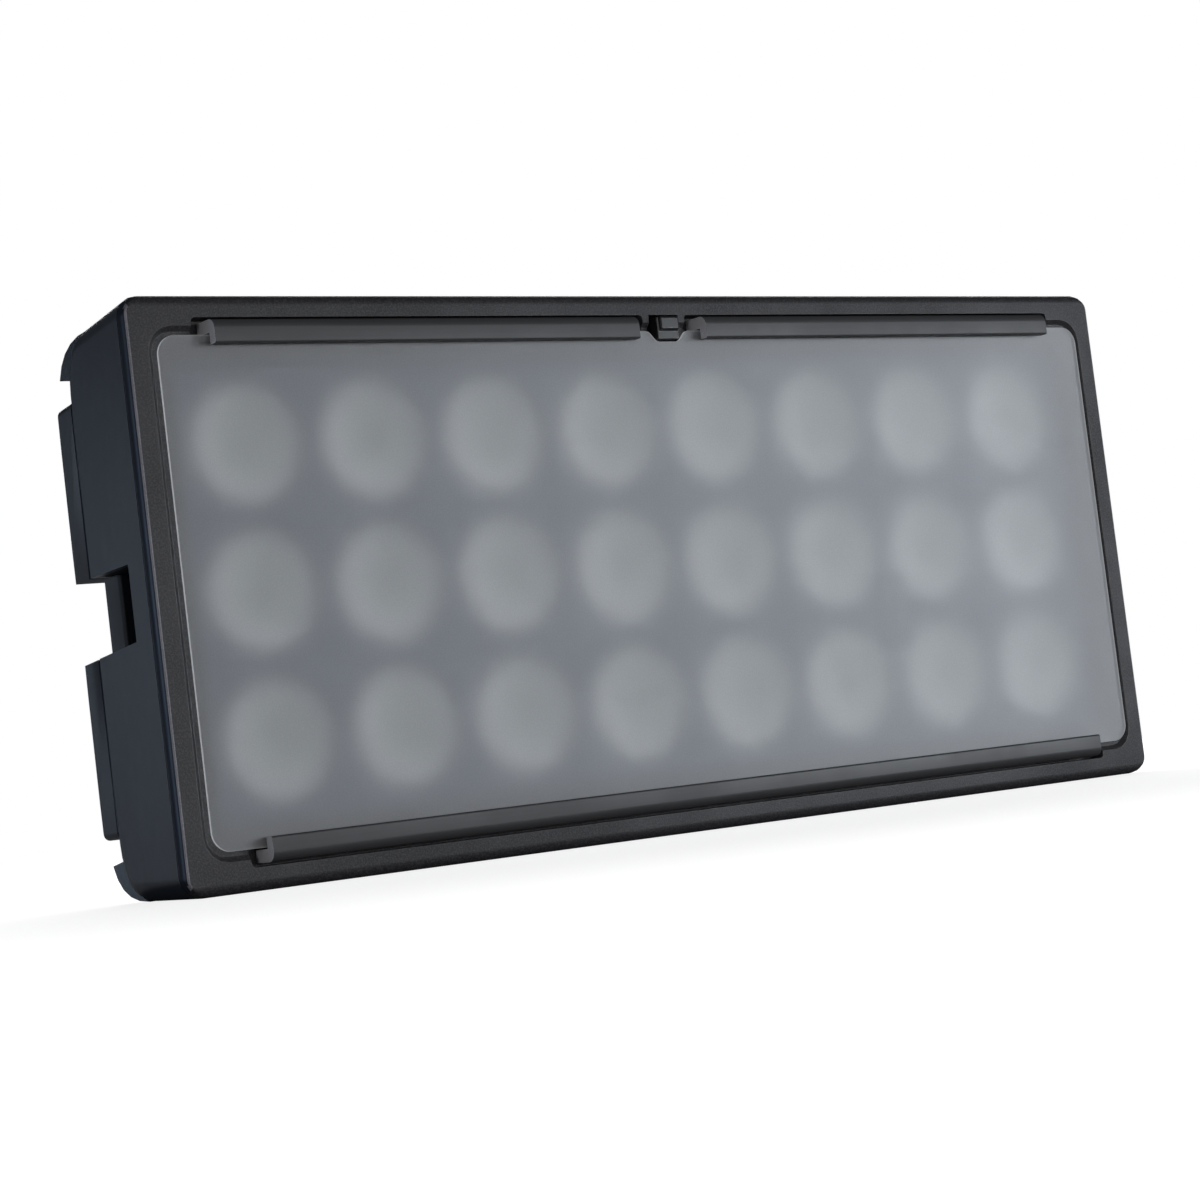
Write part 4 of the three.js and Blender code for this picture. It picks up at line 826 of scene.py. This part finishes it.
class STAGELIGHT_OT_cover(Operator):
    """Rear cover, hooked rear rails and the cover's screws"""

    bl_idname = "stagelight.cover"
    bl_label = "Rear cover and rails"

    groove_depth: length("Seam groove depth", "Depth of the groove behind the housing's edge", 0.0018)
    groove_run: length("Seam groove run", "Width of the groove behind the housing's edge", 0.0052)
    shank_radius, tip_height, head_height = 0.0025, 0.0012, 0.0021

    def make_screw(self, node):
        low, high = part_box(node)
        head = (high.x - low.x) / 2
        top, under, shank = high.y, high.y - self.head_height, self.shank_radius
        shape = bmesh.new()
        turn_profile(shape, [(0.0, low.y), (shank, low.y + self.tip_height), (shank, under), (head, under),
                             (head, under + 0.0009), (head * 0.93, under + 0.0014),
                             (head * 0.72, top - 0.00025), (head * 0.50, top), (head * 0.44, top),
                             (head * 0.40, top - 0.0002), (head * 0.40, top - 0.0013), (0.0, top - 0.0015)],
                     axis_point(low, high), steps=36)
        add_piece(node, tidy(shape), "spring_steel")

    def execute(self, context):
        shape = node_shape("rear_cover")
        low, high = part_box("rear_cover")
        lip, ease = low.y + self.groove_run, sizes().small_edge
        for y in (lip, lip + ease):
            bmesh.ops.bisect_plane(shape, geom=shape.verts[:] + shape.edges[:] + shape.faces[:], dist=1e-6,
                                   plane_co=(0.0, y, 0.0), plane_no=(0.0, 1.0, 0.0))
        for vert in shape.verts:
            limit = high.x - self.groove_depth - CASE_TAPER * (vert.co.y - low.y)
            if vert.co.y < lip + ease / 2 and abs(vert.co.x) > limit:
                vert.co.x = copysign(limit, vert.co.x)
        round_edges(shape, sizes().case_edge, angle=50.0, keep=behind(lip + ease * 1.5))
        add_piece("rear_cover", shape, "housing_plastic")
        for end in ("top", "bottom"):
            soften_node(f"rear_rail_{end}", "housing_plastic", sizes().case_edge, angle=35.0)
        for node in SCREWS:
            self.make_screw(node)
        return {"FINISHED"}


class STAGELIGHT_OT_fans(Operator):
    """Rear fans: square frames, bladed rotors and wire guards"""

    bl_idname = "stagelight.fans"
    bl_label = "Fans and guards"

    frame_corner, hub_radius, plate, motor_depth = 0.004, 0.017, 0.003, 0.0109
    strut_half, shaft_radius, blade_thickness, tip_gap = 0.002, 0.002, 0.0011, 0.0022

    def make_frame(self, number):
        node = f"fan_frame_{number}"
        low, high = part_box(node)
        centre = axis_point(low, high)
        bore, front = sizes().fan_bore_radius, low.y
        hub, half, shaft = self.hub_radius, self.strut_half, self.shaft_radius
        shape = bmesh.new()
        outline = rounded_outline(low, high, self.frame_corner)
        pierced_plate(shape, outline, [(centre.x, centre.z, bore)], front, high.y)
        for angle in (0.0, pi / 2):
            add_turned_block(shape, (centre.x - bore - 0.001, front, centre.z - half),
                             (centre.x + bore + 0.001, front + self.plate, centre.z + half), centre, angle)
        profile = [(0.0, 0.0), (hub - 0.0005, 0.0), (hub, 0.0005), (hub, self.plate), (shaft, self.plate),
                   (shaft, self.motor_depth), (0.0, self.motor_depth)]
        turn_profile(shape, profile, centre, front, steps=40)
        round_edges(tidy(shape), sizes().small_edge, angle=50.0, segments=1)
        add_piece(node, shape, "fan_plastic")

    def make_rotor(self, number):
        node = f"fan_rotor_{number}"
        low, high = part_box(node)
        centre = axis_point(*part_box(f"fan_frame_{number}"))
        front, back = low.y, high.y
        middle, reach = (front + back) / 2, (back - front) / 2 - 0.0009
        hub, tip, blades = self.hub_radius, sizes().fan_bore_radius - self.tip_gap, sizes().fan_blades
        shape = bmesh.new()
        turn_profile(shape, [(0.0, front + 0.0008), (hub - 0.001, front + 0.0008), (hub, front + 0.0016),
                             (hub, back - 0.0022), (hub - 0.0006, back - 0.0008), (hub - 0.0022, back),
                             (hub * 0.55, back), (hub * 0.5, back - 0.0005), (0.0, back - 0.0005)], centre)
        for blade in range(blades):
            grid = bmesh.ops.create_grid(shape, x_segments=10, y_segments=8, size=0.5)["verts"]
            for vert in grid:
                outward, along = vert.co.x + 0.5, vert.co.y
                radius = (hub - 0.001) + (tip - hub + 0.001) * outward
                pitch = radians(42.0 - 14.0 * outward)
                span = (2 * pi / blades) * (0.86 - 0.22 * outward)
                angle = 2 * pi * blade / blades + along * span + 0.20 * outward * outward
                rise = along * span * radius * tan(pitch) * 0.62 + 0.0012 * (1.0 - 4.0 * along * along)
                vert.co = (centre.x + radius * cos(angle), middle + max(-reach, min(reach, rise)),
                           centre.z + radius * sin(angle))
            faces = list({face for vert in grid for face in vert.link_faces})
            bmesh.ops.recalc_face_normals(shape, faces=faces)
            bmesh.ops.solidify(shape, geom=faces, thickness=self.blade_thickness)
        add_piece(node, tidy(shape), "fan_plastic", f"rotor_{number}", smooth=40.0)

    def make_guard(self, number):
        node = f"fan_guard_{number}"
        wire = sizes().guard_wire / 2
        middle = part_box(node)[1].y - wire
        centre = axis_point(*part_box(f"fan_frame_{number}"))
        outer = sizes().fan_bore_radius - 0.0003
        shape = bmesh.new()
        for index in range(4):
            ring = outer - wire - index * (outer - 0.0035) / 4
            turns = [2 * pi * step / 10 for step in range(11)]
            points = [(ring + wire * cos(turn), wire * sin(turn)) for turn in turns]
            turn_profile(shape, points, centre, middle, steps=72)
        for spoke in range(4):
            turn = Matrix.Rotation((spoke + 0.5) * pi / 4, 4, "Y")
            place = Matrix.Translation((centre.x, middle, centre.z)) @ turn
            bmesh.ops.create_cone(shape, cap_ends=True, segments=10, radius1=wire * 0.9, radius2=wire * 0.9,
                                  depth=(outer - wire) * 2, matrix=place)
        hub = [(0.0, -wire), (0.0052, -wire), (0.0056, 0.0), (0.0052, wire), (0.0, wire)]
        turn_profile(shape, hub, centre, middle, steps=32)
        add_piece(node, tidy(shape), "spring_steel", smooth=50.0)

    def execute(self, context):
        for number in FAN_NUMBERS:
            self.make_frame(number)
            self.make_rotor(number)
            self.make_guard(number)
        return {"FINISHED"}


class STAGELIGHT_OT_controls(Operator):
    """Control panel with its display pane, keys and board"""

    bl_idname = "stagelight.controls"
    bl_label = "Control panel"

    def execute(self, context):
        soften_node("control_panel", "panel_plastic", sizes().small_edge, angle=40.0)
        soften_node("display_pane", "display_pane", sizes().small_edge, angle=40.0)
        for number in KEY_NUMBERS:
            soften_node(f"menu_key_{number}", "key_plastic", sizes().small_edge * 1.6, angle=40.0, segments=3,
                        body=f"key_{number}")
        dress_node("control_board", "circuit_board")
        return {"FINISHED"}


class STAGELIGHT_OT_sockets(Operator):
    """Power and data sockets with their flanges, collars and contacts"""

    bl_idname = "stagelight.sockets"
    bl_label = "Sockets"

    flange_corner, flange_thickness, flange_hole, screw_offset = 0.003, 0.002, 0.0125, 0.0155
    collar_radius, collar_height, barrel_radius = 0.0150, 0.007, 0.0135
    bore_radius, bore_depth = 0.0115, 0.016
    blade_ring, blade_half_width, blade_half_thickness, blade_height = 0.0058, 0.0026, 0.0007, 0.011
    pin_ring, pins, pin_spaces = 0.0062, 5, 5.6

    def make_shell(self, low, high, centre, flange_back):
        """The flange, and the barrel and collar with the bore in them."""
        barrel, outer, bore = self.barrel_radius, self.collar_radius, self.bore_radius
        front = flange_back - self.flange_thickness
        outline = rounded_outline(low, high, self.flange_corner)
        shape = bmesh.new()
        pierced_plate(shape, outline, [(centre.x, centre.z, self.flange_hole)], front, flange_back)
        back, floor = high.y, high.y - self.bore_depth
        profile = [(0.0, low.y), (barrel - 0.0005, low.y), (barrel, low.y + 0.0005), (barrel, front),
                   (outer, front), (outer, back - 0.0008), (outer - 0.0004, back - 0.0002),
                   (outer - 0.0010, back), (bore + 0.0006, back), (bore + 0.0001, back - 0.0004),
                   (bore, back - 0.001), (bore, floor), (0.0, floor)]
        turn_profile(shape, profile, centre)
        return round_edges(tidy(shape), sizes().small_edge, angle=50.0, segments=1)

    def add_blades(self, shape, centre, floor):
        """The three flat contacts of a power socket."""
        for turn in (pi / 2, pi * 7 / 6, pi * 11 / 6):
            x, z = centre.x + self.blade_ring * cos(turn), centre.z + self.blade_ring * sin(turn)
            low = (x - self.blade_half_width, floor, z - self.blade_half_thickness)
            high = (x + self.blade_half_width, floor + self.blade_height, z + self.blade_half_thickness)
            add_turned_block(shape, low, high, (x, floor, z), -turn)

    def add_pins(self, shape, centre, floor):
        """The round contacts of a data socket, on a ring with a gap for its key."""
        radius = sizes().pin_radius
        profile = [(0.0, 0.0), (radius, 0.0), (radius, 0.0105), (radius * 0.5, 0.0112), (0.0, 0.0113)]
        for pin in range(self.pins):
            turn = pi / 2 + (pin + 0.5) * 2 * pi / self.pin_spaces
            offset = Vector((self.pin_ring * cos(turn), 0.0, self.pin_ring * sin(turn)))
            turn_profile(shape, profile, centre + offset, floor, steps=16)

    def add_screw(self, shape, centre, flange_back):
        """A small screw with a dished head on the flange."""
        profile = [(0.0021, 0.0), (0.0021, 0.0004), (0.0013, 0.0009), (0.0009, 0.0009), (0.0008, 0.0002),
                   (0.0, 0.0002)]
        turn_profile(shape, profile, centre, flange_back, steps=20)

    def execute(self, context):
        for node in ("power_inlet", "power_outlet", "data_inlet", "data_outlet"):
            low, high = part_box(node)
            centre = axis_point(low, high)
            flange_back = high.y - self.collar_height
            shape = self.make_shell(low, high, centre, flange_back)
            before = len(shape.faces)
            add_contacts = self.add_blades if node.startswith("power") else self.add_pins
            add_contacts(shape, centre, high.y - self.bore_depth)
            paint_from(shape, before, FIRST_EXTRA)
            for x in (-self.screw_offset, self.screw_offset):
                for z in (-self.screw_offset, self.screw_offset):
                    before = len(shape.faces)
                    self.add_screw(shape, Vector((centre.x + x, 0.0, centre.z + z)), flange_back)
                    paint_from(shape, before, SECOND_EXTRA)
            bmesh.ops.recalc_face_normals(shape, faces=shape.faces)
            add_piece(node, shape, "socket_plastic", extra=["contact_metal", "spring_steel"])
        return {"FINISHED"}


class STAGELIGHT_OT_innards(Operator):
    """Finishes of the lamp boards, the heat sink and the power supply"""

    bl_idname = "stagelight.innards"
    bl_label = "Inner parts"

    def execute(self, context):
        for node in LAMP_BOARDS:
            dress_node(node, "circuit_board")
        dress_node("heat_sink", "sink_aluminium")
        dress_node("power_supply", "supply_case")
        return {"FINISHED"}


class STAGELIGHT_OT_stage(Operator):
    """Pale floor, soft studio lights, and the camera of the photograph"""

    bl_idname = "stagelight.stage"
    bl_label = "Studio"

    floor_glow: share("Floor glow", "Backlight of the floor near the light", 0.84)
    room_light: share("Room light", "Strength of the light from all round", 0.06)
    floor_half = 12.0
    camera_place = (-0.97396, -1.32007, 0.02965)
    camera_lens = 88.3

    def make_floor(self):
        shape = bmesh.new()
        bmesh.ops.create_grid(shape, x_segments=1, y_segments=1, size=self.floor_half)
        mesh = bpy.data.meshes.new("Floor")
        shape.to_mesh(mesh)
        shape.free()
        floor = add_object("Floor", mesh)
        shade = colours().floor
        material, tree, shader, place = start_finish("Studio floor")
        seen = add_node(tree, "ShaderNodeLightPath").outputs["Is Camera Ray"]
        away = add_node(tree, "ShaderNodeVectorMath", {0: place}, operation="LENGTH").outputs["Value"]
        backdrop = add_step(tree, away, 0.30, 0.95, self.floor_glow, 1.0)
        tone = tone_mask(tree, place, 0.8)
        feed(shader, {"Base Color": mix_colours(tree, tone, scaled(shade, 0.97), shade),
                      "Roughness": 0.9,
                      "Specular IOR Level": 0.1,
                      "Emission Color": (1.0, 1.0, 1.0, 1.0),
                      "Emission Strength": times(tree, seen, backdrop)})
        mesh.materials.append(material)

    def make_light(self, name, place, size, power, tint=(1.0, 1.0, 1.0)):
        """A soft rectangle of light that faces the middle of the case."""
        data = bpy.data.lights.new(name, "AREA")
        data.shape = "RECTANGLE"
        data.size, data.size_y = size
        data.energy = power
        data.color = tint
        light = add_object(name, data)
        light.location = place
        light.rotation_mode = "QUATERNION"
        light.rotation_quaternion = (Vector((0.0, 0.0, MIDDLE_Z)) - Vector(place)).to_track_quat("-Z", "Y")

    def make_camera(self):
        """The camera fitted to the photograph's edges and lamp grid, with its roll."""
        azimuth, elevation, roll = radians(36.005), radians(3.622), radians(6.910)
        forward = Vector((sin(azimuth) * cos(elevation), cos(azimuth) * cos(elevation), sin(elevation)))
        level = Vector((cos(azimuth), -sin(azimuth), 0.0))
        down = forward.cross(level)
        right = level * cos(roll) + down * sin(roll)
        up = level * sin(roll) - down * cos(roll)
        data = bpy.data.cameras.new("Photograph camera")
        data.sensor_fit = "HORIZONTAL"
        data.sensor_width = 36.0
        data.lens = self.camera_lens
        data.clip_start, data.clip_end = 0.05, 60.0
        camera = add_object("Photograph camera", data)
        turn = Matrix((right, up, -forward)).transposed()
        camera.matrix_world = Matrix.Translation(self.camera_place) @ turn.to_4x4()
        bpy.context.scene.camera = camera

    def make_world(self):
        """A dim, cool light from all round, behind a white backdrop that only the camera sees."""
        world = bpy.data.worlds.new("Studio")
        world.use_nodes = True
        tree = world.node_tree
        tree.nodes.clear()
        seen = add_node(tree, "ShaderNodeLightPath").outputs["Is Camera Ray"]
        room = add_node(tree, "ShaderNodeBackground",
                        {"Color": (0.80, 0.89, 1.0, 1.0), "Strength": self.room_light}).outputs[0]
        backdrop = add_node(tree, "ShaderNodeBackground",
                            {"Color": (1.0, 1.0, 1.0, 1.0), "Strength": 1.0}).outputs[0]
        mixed = add_node(tree, "ShaderNodeMixShader", {0: seen, 1: room, 2: backdrop}).outputs[0]
        add_node(tree, "ShaderNodeOutputWorld", {0: mixed})
        bpy.context.scene.world = world

    def execute(self, context):
        self.make_camera()
        self.make_floor()
        self.make_world()
        self.make_light("Front softbox", (0.1, -3.1, 0.20), (1.5, 0.6), 27.0)
        self.make_light("Left front strip", (-2.2, -1.75, 0.20), (0.22, 0.6), 7.0)
        self.make_light("Left softbox", (-2.75, 0.45, 0.25), (1.0, 0.6), 7.0, (0.70, 0.82, 1.0))
        self.make_light("Right softbox", (1.95, -2.1, 0.25), (0.9, 0.8), 40.0, (0.88, 0.94, 1.0))
        self.make_light("Left rear strip", (-1.2, 2.32, 0.16), (0.45, 0.8), 3.5, (0.72, 0.84, 1.0))
        self.make_light("Rear softbox", (2.0, 2.6, 1.5), (2.6, 2.0), 110.0)
        context.scene.view_settings.view_transform = "Standard"
        return {"FINISHED"}


OPERATORS = (STAGELIGHT_OT_stage, STAGELIGHT_OT_bezel, STAGELIGHT_OT_rails, STAGELIGHT_OT_sheet,
             STAGELIGHT_OT_latch, STAGELIGHT_OT_lenses, STAGELIGHT_OT_housing, STAGELIGHT_OT_cover,
             STAGELIGHT_OT_fans, STAGELIGHT_OT_controls, STAGELIGHT_OT_sockets, STAGELIGHT_OT_innards)


class STAGELIGHT_PT_sidebar(Panel):
    """Lists the pieces and their sizes and colours in the sidebar"""

    bl_idname = "STAGELIGHT_PT_sidebar"
    bl_label = "Matrix Stage Light"
    bl_space_type = "VIEW_3D"
    bl_region_type = "UI"
    bl_category = "Stage Light"

    def draw(self, context):
        for operator in OPERATORS:
            self.layout.operator(operator.bl_idname)
        for owner in (context.scene.stage_light_sizes, context.scene.stage_light_colours):
            box = self.layout.box()
            for name in owner.bl_rna.properties.keys():
                if name not in ("rna_type", "name"):
                    box.prop(owner, name)


CLASSES = (StageLightSizes, StageLightColours, *OPERATORS, STAGELIGHT_PT_sidebar)


def register():
    for entry in CLASSES:
        bpy.utils.register_class(entry)
    bpy.types.Scene.stage_light_sizes = PointerProperty(type=StageLightSizes)
    bpy.types.Scene.stage_light_colours = PointerProperty(type=StageLightColours)


def unregister():
    del bpy.types.Scene.stage_light_colours
    del bpy.types.Scene.stage_light_sizes
    for entry in reversed(CLASSES):
        bpy.utils.unregister_class(entry)


def main():
    register()
    for operator in OPERATORS:
        group, name = operator.bl_idname.split(".")
        getattr(getattr(bpy.ops, group), name)()


if __name__ == "__main__":
    main()
